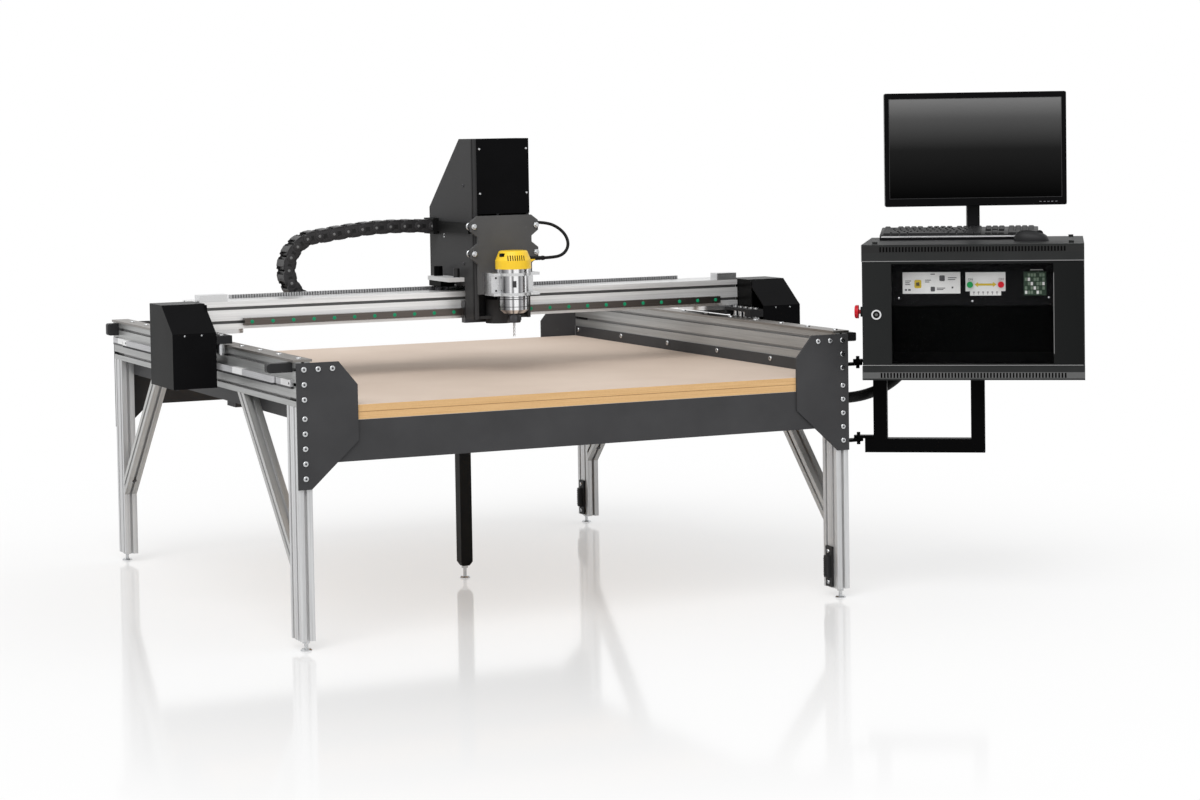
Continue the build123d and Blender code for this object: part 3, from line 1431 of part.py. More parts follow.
def keyboard_and_mouse():
    """Keyboard with rows of keys, and the mouse beside it."""
    back = keyboard_v + keyboard_deep
    side = [(keyboard_v, cabinet_top), (keyboard_v, cabinet_top + keyboard_front)]
    side += [(back, cabinet_top + keyboard_back), (back, cabinet_top)]
    wide = (keyboard_u, keyboard_u + keyboard_wide)
    board = plate_yz(side, wide)
    pitch = (keyboard_deep - 2 * key_margin) / key_rows
    rise = (keyboard_back - keyboard_front) / keyboard_deep
    for k in range(key_rows):
        v = keyboard_v + key_margin + k * pitch
        low = cabinet_top + keyboard_front + rise * (v - keyboard_v)
        row_v = (v, v + pitch - key_row_gap)
        row_u = (wide[0] + key_margin, wide[1] - key_margin)
        board += span(row_u, row_v, (low - key_rise, low + key_rise))
    mouse_us = (mouse_u, mouse_u + mouse_long)
    mouse = span(mouse_us, (mouse_v, mouse_v + mouse_wide), (cabinet_top, cabinet_top + mouse_tall))
    mouse = fillet(mouse.edges().filter_by(Axis.Z), mouse_round)
    mouse = fillet(mouse.faces().sort_by(Axis.Z)[-1].edges(), mouse_round)
    parts["keyboard_and_mouse"] = [cabinet_place * board, cabinet_place * mouse]


def cable_loom():
    """Thick loom from the front right leg up into the cabinet's floor, cut flush at both."""
    route = [(half_table + out, pivot_y + behind, cabinet_low + rise) for out, behind, rise in loom_route]
    loom = cord_tube("loom", route, loom_r)
    reach = 4 * loom_r
    start = route[0]
    end = route[-1]
    start_y = (start[1] - reach, start[1] + reach)
    loom -= span((half_table - reach, half_table), start_y, (start[2] - reach, start[2] + reach))
    end_y = (end[1] - reach, end[1] + reach)
    loom -= span((end[0] - reach, end[0] + reach), end_y, (cabinet_low, cabinet_low + reach))
    parts["loom"] = [loom]


def save_parts():
    """Write one STEP file for each named piece."""
    os.makedirs("parts", exist_ok=True)
    for name, shapes in parts.items():
        solids = [solid for shape in shapes for solid in shape.solids()]
        export_step(solids[0] if len(solids) == 1 else Compound(solids), f"parts/{name}.step")


table_frame()
corner_plates_and_bolts()
tracks_and_racks()
bed()
stops_and_handles()
swing_hinges()
gantry_beam()
trucks()
drives()
cable_chain()
z_housing()
bearing_blocks()
carriage_drives()
z_plate_and_wheels()
router()
swing_frame()
cabinet()
cabinet_door()
buttons()
monitor()
keyboard_and_mouse()
cable_loom()
save_parts()
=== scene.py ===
import math
from functools import partialmethod

import bpy
import numpy as np
from mathutils import Matrix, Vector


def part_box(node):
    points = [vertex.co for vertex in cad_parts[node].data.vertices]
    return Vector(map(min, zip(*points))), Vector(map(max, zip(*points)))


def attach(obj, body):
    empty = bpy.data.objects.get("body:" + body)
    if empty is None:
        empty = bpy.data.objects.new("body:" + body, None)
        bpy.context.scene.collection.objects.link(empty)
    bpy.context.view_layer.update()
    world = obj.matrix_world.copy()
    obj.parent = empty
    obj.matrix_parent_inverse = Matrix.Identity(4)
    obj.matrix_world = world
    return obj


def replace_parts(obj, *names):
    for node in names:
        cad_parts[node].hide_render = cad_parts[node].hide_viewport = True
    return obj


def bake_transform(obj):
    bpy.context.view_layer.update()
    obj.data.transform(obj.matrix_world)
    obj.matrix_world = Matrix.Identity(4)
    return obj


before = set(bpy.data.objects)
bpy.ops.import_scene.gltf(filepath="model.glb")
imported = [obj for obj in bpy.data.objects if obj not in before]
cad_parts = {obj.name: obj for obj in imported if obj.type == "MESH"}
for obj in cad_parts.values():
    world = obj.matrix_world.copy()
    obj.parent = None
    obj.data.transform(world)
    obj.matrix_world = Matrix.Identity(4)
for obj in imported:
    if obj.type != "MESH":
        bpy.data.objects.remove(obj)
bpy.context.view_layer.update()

print("frame loaded,", len(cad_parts), "nodes")


class Wire:  # a node's output socket that takes part in Python sums
    def __init__(self, tree, socket):
        self.tree = tree
        self.socket = socket

    def math(self, operation, *others):
        links = dict(enumerate((self, *others)))
        return addNode(self.tree, "ShaderNodeMath", {"operation": operation}, links)

    def __rsub__(self, other):
        return self * -1.0 + other

    __add__ = __radd__ = partialmethod(math, "ADD")
    __sub__ = partialmethod(math, "SUBTRACT")
    __mul__ = __rmul__ = partialmethod(math, "MULTIPLY")
    __gt__ = partialmethod(math, "GREATER_THAN")
    __lt__ = partialmethod(math, "LESS_THAN")
    __abs__ = partialmethod(math, "ABSOLUTE")


def addNode(tree, kind, settings=None, links=None, out=0):
    # settings go on first, then each socket gets its value or link
    node = tree.nodes.new(kind)
    for name, value in (settings or {}).items():
        if name == "stops":
            ramp = node.color_ramp
            while len(ramp.elements) < len(value):
                ramp.elements.new(1.0)
            for element, (place, colour) in zip(ramp.elements, value):
                element.position = place
                element.color = (*colour, 1.0)
        else:
            setattr(node, name, value)
    for name, value in (links or {}).items():
        if isinstance(value, Wire):
            tree.links.new(value.socket, node.inputs[name])
        elif hasattr(value, "__len__") and len(value) == 3 and node.inputs[name].type == "RGBA":
            node.inputs[name].default_value = (*value, 1.0)
        else:
            node.inputs[name].default_value = value
    return Wire(tree, node.outputs[out])


class Finish:  # one material: a Principled shader and the fields that feed it
    def __init__(self, name, **sockets):
        self.material = bpy.data.materials.new(name)
        self.material.use_nodes = True
        self.tree = self.material.node_tree
        self.shader = self.tree.nodes["Principled BSDF"]
        self.feed(**sockets)

    def add(self, kind, settings=None, links=None, out=0):
        return addNode(self.tree, kind, settings, links, out)

    def feed(self, **sockets):
        for name, value in sockets.items():
            socket = self.shader.inputs[name.replace("_", " ")]
            if isinstance(value, Wire):
                self.tree.links.new(value.socket, socket)
            elif hasattr(value, "__len__") and len(value) == 3:
                socket.default_value = (*value, 1.0)
            else:
                socket.default_value = value

    def done(self, colour, roughness, height=None, strength=0.12, depth=0.0002):
        self.feed(Base_Color=colour, Roughness=roughness)
        if height:
            links = {"Height": height, "Strength": strength, "Distance": depth}
            self.feed(Normal=self.add("ShaderNodeBump", links=links))
        return self.material

    def place(self):
        return self.add("ShaderNodeTexCoord", out="Object")

    def axes(self):
        split = self.add("ShaderNodeSeparateXYZ", links={0: self.place()})
        return [Wire(self.tree, output) for output in split.socket.node.outputs]

    def noise(self, scale, detail=2.0, rough=0.5, where=None):
        links = {"Vector": where or self.place(), "Scale": scale, "Detail": detail, "Roughness": rough}
        return self.add("ShaderNodeTexNoise", links=links)

    def drawn(self, scale, detail=3.0, rough=0.6):
        # noise squeezed into lines: scale is large across them and small along them
        where = self.add("ShaderNodeMapping", links={"Vector": self.place(), "Scale": scale})
        return self.noise(1.0, detail, rough, where)

    def ramp(self, value, *stops):
        return self.add("ShaderNodeValToRGB", {"stops": stops}, {0: value})

    def shades(self, value, colour, spread):
        # the colour a little darker where value is low and a little lighter where it is high
        return self.ramp(value, (0.3, tint(colour, 1 - spread)), (0.7, tint(colour, 1 + spread)))

    def mix(self, mask, first, second):
        links = {"Factor": mask, 6: first, 7: second}
        return self.add("ShaderNodeMix", {"data_type": "RGBA"}, links, out=2)


def tint(colour, factor):
    return tuple(min(1.0, part * factor) for part in colour)


def grey(shade, blue=None):
    return shade, shade, blue or shade


def within(value, half, *places):
    # 1 where the value is less than half away from one of the places
    return sum(abs(value - place) < half for place in places)


def coated(finish, coat, cloud, roughness):
    # orange-peel bump over the coat
    return finish.done(coat, cloud * 0.12 + (roughness - 0.06), finish.noise(900.0), 0.25, 0.0004)


def powderCoat(name, colour, roughness, gloss, second=None, where=None):
    # faint cloudy change of shade and a few paler rubbed spots; where(x, y, z) marks the places
    # that have the second colour
    finish = Finish(name, Specular_IOR_Level=gloss)
    cloud = finish.noise(7.0, 4.0)
    wearAndHighlight = finish.noise(38.0, 6.0, 0.7) > 0.69
    coat = finish.shades(cloud, colour, 0.12)
    if second:
        coat = finish.mix(where(*finish.axes()), coat, finish.shades(cloud, second, 0.12))
    return coated(finish, finish.mix(wearAndHighlight * 0.2, coat, tint(colour, 2.0)), cloud, roughness)


def drawnMetal(name, colour, roughness, scale):
    # draw lines with a slow drift of shade
    finish = Finish(name, Metallic=1.0)
    lines = finish.drawn(scale)
    shade = lines * 0.7 + finish.noise(5.0, 3.0) * 0.3
    return finish.done(finish.shades(shade, colour, 0.14), shade * 0.2 + (roughness - 0.1), lines)


def slottedBar(name, colour, roughness, hull, slotShadowGrey, gap=None):
    # drawn alloy with fine and broad lines; hull(x, y, z) gives (coordinate, low, high) for each
    # pair of outer walls and, last, the three coordinates that the lines follow: behind the walls
    # is slot or bore, painted in the slot shadow grey as shade, nearly black as deeper painted shade
    # where gap(x, y, z) marks it
    finish = Finish(name)
    x, y, z = finish.axes()
    walls, along = hull(x, y, z)
    wallDeep = 0.0012
    inside = 1.0
    for coordinate, low, high in walls:
        inside = (coordinate > low + wallDeep) * (coordinate < high - wallDeep) * inside
    where = finish.add("ShaderNodeCombineXYZ", links=dict(enumerate(along)))
    lines = finish.noise(1.0, 3.0, 0.6, where)
    broad = finish.noise(0.17, 2.0, 0.5, where)
    shade = lines * 0.4 + broad * 0.45 + finish.noise(5.0, 3.0) * 0.15
    # painted shade inside the slots and bores
    slot = finish.shades(broad, grey(slotShadowGrey), 0.2)
    if gap:
        slot = finish.mix(gap(x, y, z), slot, grey(0.02))
    bar = finish.mix(inside, finish.shades(shade, colour, 0.3), slot)
    finish.feed(Metallic=0.55 - inside * 0.40)
    return finish.done(bar, shade * 0.2 + (roughness - 0.1), lines, 0.14)


def mouldedPlastic(name, colour, roughness, grain=1500.0, gloss=0.2):
    # fine spark-eroded texture with a slow drift of shade
    finish = Finish(name, Specular_IOR_Level=gloss)
    cloud = finish.noise(12.0, 3.0)
    shade = finish.shades(cloud, colour, 0.1)
    return finish.done(shade, cloud * 0.1 + (roughness - 0.05), finish.noise(grain), 0.15)


def polishedPanel(name, colour):
    # gloss black sheet with faint smears in its polish
    finish = Finish(name, Specular_IOR_Level=0.05)
    smear = finish.noise(9.0, 4.0, 0.6)
    return finish.done(finish.shades(smear, colour, 0.3), smear * 0.14 + 0.12)


def fibreboard(name, boardTop, sheet):
    # pressed fibre: warm cut edges with layers and a seam between the sheets, a paler sanded face
    # with long cloudy marks
    finish = Finish(name, Specular_IOR_Level=0.2)
    height = finish.axes()[2]
    fibre = finish.noise(420.0, 3.0, 0.7)
    faceShade = finish.noise(2.2, 5.0, 0.55) * 0.6 + fibre * 0.4
    edgeShade = finish.drawn((6.0, 6.0, 900.0), 2.0, 0.5) * 0.6 + fibre * 0.4
    face = finish.ramp(faceShade, (0.25, (0.58, 0.465, 0.38)), (0.75, (0.75, 0.63, 0.535)))
    edge = finish.ramp(edgeShade, (0.3, (0.56, 0.33, 0.14)), (0.7, (0.76, 0.50, 0.25)))
    cut = finish.mix(within(height, 0.0007, boardTop - sheet), edge, (0.28, 0.15, 0.06))
    board = finish.mix(height > boardTop - 0.0004, cut, face)
    return finish.done(board, fibre * 0.15 + 0.62, fibre, 0.3, 0.0005)


def clearGlass(name):
    # nearly clear pane, a little dust in its roughness
    finish = Finish(name, Alpha=0.05, Specular_IOR_Level=0.1)
    return finish.done(grey(0.004, 0.005), finish.noise(30.0, 3.0) * 0.04 + 0.03)


rackMarks = {
    "top": 0.70, "teeth": 0.675, "holeHeight": 0.683, "holeIn": 0.009, "holeHalf": 0.0032,
    "clips": ((-0.839, -0.766), (-0.461, -0.374), (-0.080, 0.007), (0.301, 0.388), (0.674, 0.793)),
}


def trackAndRack(name):
    # brown-grey track strips; below them racks with pale backs and teeth painted dark as the shade
    # under them, white clips on the backs and a hole in each clip painted dark as shade
    finish = Finish(name)
    y, z = finish.axes()[1:]
    lines = finish.drawn(alongY)
    low = z < rackMarks["top"]
    back = low * (z > rackMarks["teeth"])
    clip = holeShadow = 0.0
    for start, end in rackMarks["clips"]:
        clip = within(y, (end - start) / 2, (start + end) / 2) * back + clip
        holeShadow = within(y, rackMarks["holeHalf"], start + rackMarks["holeIn"]) + holeShadow
    holeShadow = within(z, rackMarks["holeHalf"], rackMarks["holeHeight"]) * holeShadow
    track = finish.shades(lines, (0.24, 0.225, 0.21), 0.18)
    # painted shade: dark teeth under the rack and dark holes in the clips
    teeth = finish.shades(lines, grey(0.05, 0.052), 0.2)
    rack = finish.mix(back, teeth, finish.shades(lines, grey(0.50, 0.51), 0.2))
    white = finish.mix(holeShadow, finish.shades(lines, grey(0.80), 0.06), grey(0.03))
    steel = finish.mix(clip, finish.mix(low, track, rack), white)
    finish.feed(Metallic=1 - clip * 0.7)
    return finish.done(steel, lines * 0.2 + 0.3, lines)


def railAndRack(name, rackFoot):
    # grey rack along the top of the beam, dark brown-grey ground rail on its front
    finish = Finish(name, Metallic=1.0)
    lines = finish.drawn(alongX)
    ground = finish.shades(lines, (0.125, 0.11, 0.10), 0.2)
    teeth = finish.shades(lines, grey(0.48, 0.485), 0.25)
    steel = finish.mix(finish.axes()[2] > rackFoot, ground, teeth)
    return finish.done(steel, lines * 0.16 + 0.26, lines)


routerMarks = {  # half widths and places, up the router and, for the window's turn, as a share of one round
    "grooves": ((0.0011, 0.8365), (0.0007, 0.8420), (0.0008, 0.8150)),
    "window": (0.0092, 0.8790), "windowTurn": (0.022, 0.446),
}


def turnedAlloy(name, axisX, axisY):
    # polished round body with painted reflections: the bands of light and dark that a bright
    # cylinder shows, by angle round its axis, with dark grooves and one dark window
    finish = Finish(name, Metallic=1.0)
    x, y, z = finish.axes()
    angle = (x - axisX).math("ARCTAN2", axisY - y) * (0.5 / math.pi) + 0.5
    dark, mid, light = grey(0.13, 0.135), grey(0.42, 0.43), grey(0.90, 0.91)
    stops = ((0.10, mid), (0.22, light), (0.30, mid), (0.335, dark), (0.385, mid), (0.405, light),
             (0.43, dark), (0.445, light), (0.48, light), (0.497, dark), (0.53, mid), (0.58, light),
             (0.61, mid), (0.70, dark), (0.85, mid))
    rings = finish.drawn((3.0, 3.0, 1400.0), 2.0, 0.5)
    groove = sum(within(z, *mark) for mark in routerMarks["grooves"])
    window = within(angle, *routerMarks["windowTurn"]) * within(z, *routerMarks["window"])
    reflectionBands = finish.mix(groove + window, finish.ramp(angle, *stops), grey(0.06, 0.062))
    return finish.done(reflectionBands, rings * 0.14 + 0.14, rings, 0.1, 0.0001)


capShape = {"radius": 0.0505, "shoulder": 0.945, "slope": 0.407, "thick": 0.0022, "ventTall": 0.0150}


def capPlastic(name, axis):
    # yellow shell, painted dark as shade inside its vents: the wall's radius falls by slope above the
    # shoulder
    finish = Finish(name, Specular_IOR_Level=0.35)
    x, y, z = finish.axes()
    outX, outY = x - axis[0], y - axis[1]
    distance = (outX * outX + outY * outY).math("SQRT")
    shoulder = capShape["shoulder"]
    wall = capShape["radius"] - (z - shoulder) * capShape["slope"]
    vents = (z > shoulder - 0.0001) * (z < shoulder + capShape["ventTall"])
    inside = (distance < wall - capShape["thick"]) * vents
    cloud = finish.noise(14.0, 3.0)
    yellow = finish.shades(cloud, (0.95, 0.62, 0.028), 0.06)
    cap = finish.mix(inside, yellow, (0.02, 0.015, 0.01))
    return finish.done(cap, cloud * 0.1 + 0.32, finish.noise(1200.0))


def keyLock(name, centre, along, barrelRadius=0.0040, ringRadius=0.0096):
    # dark lock face with a bright ring and a grey barrel, by distance from the lock's axis
    finish = Finish(name, Metallic=1.0)
    x, y, z = finish.axes()
    side = (x - centre[0]) * along[0] + (y - centre[1]) * along[1]
    rise = z - centre[2]
    away = side * side + rise * rise
    dark = (away < ringRadius ** 2) * (away > barrelRadius ** 2)
    grain = finish.noise(600.0, 3.0)
    ring = finish.mix(dark, finish.shades(grain, grey(0.70, 0.71), 0.05), grey(0.012))
    face = finish.mix(away < barrelRadius ** 2, ring, grey(0.16))
    return finish.done(face, grain * 0.1 + 0.22)


def clampAlloy(name, holes, face, holeRadius=0.0033):
    # bright milled block, painted dark as shade in its two bolt holes
    finish = Finish(name, Metallic=1.0)
    x, y, z = finish.axes()
    mill = finish.drawn(milled)
    holeShadow = 0.0
    for holeX, holeZ in holes:
        outX, outZ = x - holeX, z - holeZ
        holeShadow = (outX * outX + outZ * outZ < holeRadius ** 2) * (y > face + 0.0004) + holeShadow
    skin = finish.shades(mill, (0.62, 0.625, 0.63), 0.16)
    return finish.done(finish.mix(holeShadow, skin, grey(0.02)), mill * 0.16 + 0.22, mill)


def screenWithReflection(name, middle):
    # dark panel, lighter towards its top as painted reflection
    finish = Finish(name, Specular_IOR_Level=0.02)
    reflection = (finish.axes()[2] - middle) * 3.2 + 0.5
    grain = finish.noise(2400.0, 1.0)
    stops = ((0.1, grey(0.0002)), (0.5, grey(0.013)), (0.75, grey(0.075)), (0.95, grey(0.20)))
    return finish.done(finish.ramp(reflection * 0.9 + grain * 0.1, *stops), grain * 0.05 + 0.12)


cabinetSpot = {"pivot": (0.8559, -0.8255), "turn": -34.3, "corner": (0.023, -0.148)}
monitorSpot = {"corner": (0.302, 0.330), "turn": 8.3}


def turned(points, degrees):
    # points (..., 3) turned about Z
    c, s = math.cos(math.radians(degrees)), math.sin(math.radians(degrees))
    x, y, z = np.moveaxis(np.asarray(points, float), -1, 0)
    return np.stack([c * x - s * y, s * x + c * y, z], -1)


def onCabinet(points):
    # cabinet's own frame (across, back, up) to the world
    moved = np.asarray(points, float) + (*cabinetSpot["corner"], 0.0)
    return turned(moved, cabinetSpot["turn"]) + (*cabinetSpot["pivot"], 0.0)


def onMonitor(points):
    return onCabinet(turned(points, monitorSpot["turn"]) + (*monitorSpot["corner"], 0.0))


lineFine, lineSlow = 700.0, 6.0  # noise scales across and along draw lines
braceFine, braceSlow = 500.0, 5.0  # for the braces' slanting sums, which run faster
alongX = (lineSlow, lineFine, lineFine)
alongY = (lineFine, lineSlow, lineFine)
milled = (400.0, 60.0, 400.0)
routerAxis = (0.029, -0.332)
lockCentre = onCabinet((0.040, 0.0, 0.793))
doorAlong = turned((1.0, 0.0, 0.0), cabinetSpot["turn"])
railLow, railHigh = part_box("side_rails")
legLow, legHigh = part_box("legs")
beamLow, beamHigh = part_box("gantry_beam")
barWide = 0.0381
noWall = -1.0  # below any distance from the middle
braceLine = 1.02494  # distance from the middle of the table plus height, along a brace's axis


def railHull(x, y, z):
    walls = ((abs(x), railHigh[0] - barWide, railHigh[0]), (z, railLow[2], railHigh[2]),
             (abs(y), noWall, railHigh[1]))
    return walls, (x * lineFine, y * lineSlow, z * lineFine)


def legHull(x, y, z):
    walls = ((abs(x), legHigh[0] - barWide, legHigh[0]),
             (abs(y), legHigh[1] - 2 * barWide, legHigh[1]), (z, legLow[2], legHigh[2]))
    return walls, (x * lineFine, y * lineFine, z * lineSlow)


def braceHull(x, y, z):
    across = abs(y) + z
    half = barWide / math.sqrt(2)
    walls = ((abs(x), legHigh[0] - barWide, legHigh[0]), (across, braceLine - half, braceLine + half))
    return walls, (x * lineFine, across * braceFine, (z - abs(y)) * braceSlow)


def beamHull(x, y, z):
    walls = ((y, beamLow[1], beamHigh[1]), (z, beamLow[2], beamHigh[2]),
             (abs(x), noWall, beamHigh[0]))
    return walls, (x * lineSlow, y * lineFine, z * lineFine)


trim = {
    "slotEnd": 0.789, "coverMiddle": 0.8975, "coverHalf": 0.0598, "panelTop": 0.5827, "panelOut": 0.857,
    "postFoot": 0.8925, "wall": -0.057, "wallHalf": 0.0004, "wallBack": 0.0785, "wallFront": -0.2442,
    "line": -0.2398, "lineHalf": 0.0012, "duct": 1.034, "ductHalf": 0.030,
}


def railOpenSlotShade(x, y, z):
    # the open ends of the rails' slots, past their covers, painted nearly black as shade
    return abs(y) > trim["slotEnd"]


def coverSideShade(x, y, z):
    # the two side walls of each drive cover, painted darker than the front as shade
    return abs(abs(x) - trim["coverMiddle"]) > trim["coverHalf"]


def housingDuctAndEdgeShade(x, y, z):
    # bracket and duct outside the housing's left wall, and dark lines of painted shade down that wall's two
    # edges
    duct = (x < trim["wall"] - trim["wallHalf"]) * within(z, trim["ductHalf"], trim["duct"])
    lines = (y > trim["wallBack"]) + (y < trim["wallFront"]) + within(y, trim["lineHalf"], trim["line"])
    return duct + within(x, trim["wallHalf"], trim["wall"]) * lines * (1 - duct)


def panelEdgeHighlight(x, y, z):
    # painted highlight along the upper edge of the front and rear panels
    return (z > trim["panelTop"]) * (abs(y) > trim["panelOut"])


def platePost(x, y, z):
    # upper part of the X drive plate
    return z > trim["postFoot"]


cabinetFace = {
    "vents": (0.970, 0.6265), "ventHalf": 0.0071, "ventDeep": 0.0066, "stripHalf": 0.0085,
    "door": (0.6522, 0.9360), "skin": 0.0010, "doorLines": (0.6541, 0.9381), "lineHalf": 0.0011,
    "leftEdge": 0.0014, "glassEdge": 0.5180, "glassLine": 0.0008, "glass": (0.795, 0.110),
    "lowVent": 0.7, "stileFade": 1.6,
}


def cabinetPaint(name):
    # dark coat in the cabinet's own frame: paler bands above and below the door, a stile fading darker
    # across the door as painted sheen, painted highlight along the lower vent slots, painted shade black
    # inside the vent slots, and thin painted highlight lines at the door's foot and head, beside its
    # glass and at the left edge
    finish = Finish(name, Specular_IOR_Level=0.05)
    x, y, z = finish.axes()
    c, s = doorAlong[:2]
    outX, outY = x - cabinetSpot["pivot"][0], y - cabinetSpot["pivot"][1]
    across = outX * c + outY * s - cabinetSpot["corner"][0]
    deep = outY * c - outX * s - cabinetSpot["corner"][1]
    front = deep < cabinetFace["skin"]
    strip = within(z, cabinetFace["stripHalf"], *cabinetFace["vents"]) * front
    vent = within(z, cabinetFace["ventHalf"], *cabinetFace["vents"])
    slot = vent * (deep > cabinetFace["skin"]) * (deep < cabinetFace["ventDeep"])
    band = (z > cabinetFace["door"][1]) + (z < cabinetFace["door"][0])
    glassMiddle, glassHalf = cabinetFace["glass"]
    beside = within(across, cabinetFace["glassLine"], cabinetFace["glassEdge"])
    # painted highlights: thin lines at the door's foot and head, beside its glass and at the left edge
    wearAndHighlight = within(z, cabinetFace["lineHalf"], *cabinetFace["doorLines"])
    wearAndHighlight = beside * within(z, glassHalf, glassMiddle) + wearAndHighlight + (across < cabinetFace["leftEdge"])
    cloud = finish.noise(7.0, 4.0)
    # painted sheen: the stile fades darker across the door
    stileSheen = finish.ramp(across * cabinetFace["stileFade"], (0.0, (0.0175, 0.0185, 0.0185)),
                        (1.0, (0.0075, 0.008, 0.008)))
    coat = finish.mix(band, stileSheen, finish.shades(cloud, (0.026, 0.027, 0.027), 0.12))
    # painted highlight along the lower vents
    ventHighlight = finish.mix(z < cabinetFace["lowVent"], grey(0.026), (0.110, 0.111, 0.111))
    coat = finish.mix(strip, coat, ventHighlight)
    coat = finish.mix(wearAndHighlight * front, coat, grey(0.22))
    # painted shade black inside the vent slots
    return coated(finish, finish.mix(slot, coat, grey(0.002)), cloud, 0.46)


finishNodes = (  # each finish, then the nodes that have it
    (slottedBar("railBar", (0.36, 0.365, 0.36), 0.36, railHull, 0.34, railOpenSlotShade), "side_rails"),
    (slottedBar("legBar", (0.56, 0.565, 0.57), 0.36, legHull, 0.55), "legs"),
    (slottedBar("braceBar", (0.46, 0.46, 0.45), 0.36, braceHull, 0.40), "leg_braces"),
    (slottedBar("beamBar", (0.95, 0.955, 0.95), 0.34, beamHull, 0.16), "gantry_beam"),
    (trackAndRack("trackSteel"), "tracks_and_racks"),
    (railAndRack("linearSteel", 0.85), "x_rail_and_rack"),
    (drawnMetal("zincPlate", (0.55, 0.56, 0.57), 0.26, (90.0,) * 3), "levelling_feet", "table_bolts"),
    (keyLock("lockChrome", lockCentre, doorAlong), "door_lock"),
    (drawnMetal("machinedAlloy", (0.66, 0.665, 0.67), 0.32, milled), "beam_fittings"),
    (clampAlloy("clampBlock", ((-0.024, 0.860), (-0.024, 0.896)), -0.3307), "router_clamp"),
    (turnedAlloy("routerAlloy", *routerAxis), "router_body"),
    (drawnMetal("brightSteel", (0.55, 0.56, 0.57), 0.3, (300.0,) * 3), "left_pinion", "right_pinion",
     "left_upper_wheel", "left_lower_wheel", "right_upper_wheel", "right_lower_wheel",
     "left_front_roller", "left_rear_roller", "right_front_roller", "right_rear_roller"),
    # dark steel, also used as painted shade: the bearing blocks take it where they sit in shadow beside the
    # housing
    (drawnMetal("oiledSteelAndShade", grey(0.07, 0.075), 0.36, (200.0,) * 3),
     "collet_bit", "x_pinion", "bearing_blocks", "lead_screw"),
    (powderCoat("plateGrey", grey(0.050, 0.052), 0.55, 0.12), "corner_plates"),
    (powderCoat("slideGrey", grey(0.085, 0.086), 0.55, 0.12), "z_plate"),
    # pale upper edge of the bed panels is a painted highlight
    (powderCoat("bedGrey", grey(0.050, 0.052), 0.5, 0.12, grey(0.45), panelEdgeHighlight), "bed_frame"),
    # drive covers' side walls painted darker as shade
    (powderCoat("coverBlack", grey(0.0055, 0.006), 0.3, 0.02, grey(0.004), coverSideShade), "drive_covers"),
    (powderCoat("truckBlack", grey(0.020, 0.021), 0.5, 0.1), "chain_tray", "truck_blocks"),
    (cabinetPaint("cabinetBlack"), "cabinet_shell", "door_frame"),
    (powderCoat("insideBlack", grey(0.006, 0.0065), 0.6, 0.05), "rack_panel"),
    # dark lines down the housing's left wall are painted shade
    (powderCoat("housingGrey", grey(0.040, 0.041), 0.5, 0.1, grey(0.006), housingDuctAndEdgeShade), "z_housing"),
    (powderCoat("frameBlack", grey(0.0010, 0.0011), 0.42, 0.03),
     "swing_frame", "swing_brackets", "carriage_motors", "drive_motors"),
    (powderCoat("legBlack", grey(0.012), 0.45, 0.08), "centre_leg"),
    (polishedPanel("panelBlack", grey(0.002, 0.0024)), "z_cover", "monitor"),
    (mouldedPlastic("chainPlasticAndShade", grey(0.010), 0.42),
     "chain_bend_upper", "chain_bend_lower", "chain_upper_run", "chain_lower_run"),
    (mouldedPlastic("blackPlastic", grey(0.009, 0.010), 0.4, gloss=0.12),
     "monitor_stand", "keyboard_and_mouse", "router_switch"),
    (mouldedPlastic("stopGrey", grey(0.022, 0.023), 0.45, gloss=0.15), "stops_and_handles"),
    (capPlastic("capYellow", routerAxis), "router_cap"),
    (mouldedPlastic("buttonRed", (0.60, 0.010, 0.022), 0.3, 900.0), "emergency_stop", "stop_button"),
    (mouldedPlastic("buttonGreen", (0.015, 0.33, 0.09), 0.3, 900.0), "start_button"),
    (mouldedPlastic("sheathRubber", grey(0.007), 0.5, 700.0, 0.12), "router_cord", "loom"),
    (fibreboard("fibreboard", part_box("spoilboard")[1][2], 0.01905), "spoilboard"),
    (clearGlass("doorGlass"), "door_glass"),
    (powderCoat("driveAlloy", grey(0.62), 0.4, 0.4, grey(0.008), platePost), "x_drive_plate"),
)
finishes = {material.name: material for material, *nodeNames in finishNodes}
for material, *nodeNames in finishNodes:
    for nodeName in nodeNames:
        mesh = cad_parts[nodeName].data
        mesh.materials.clear()
        mesh.materials.append(material)
print("finishes on the CAD nodes")


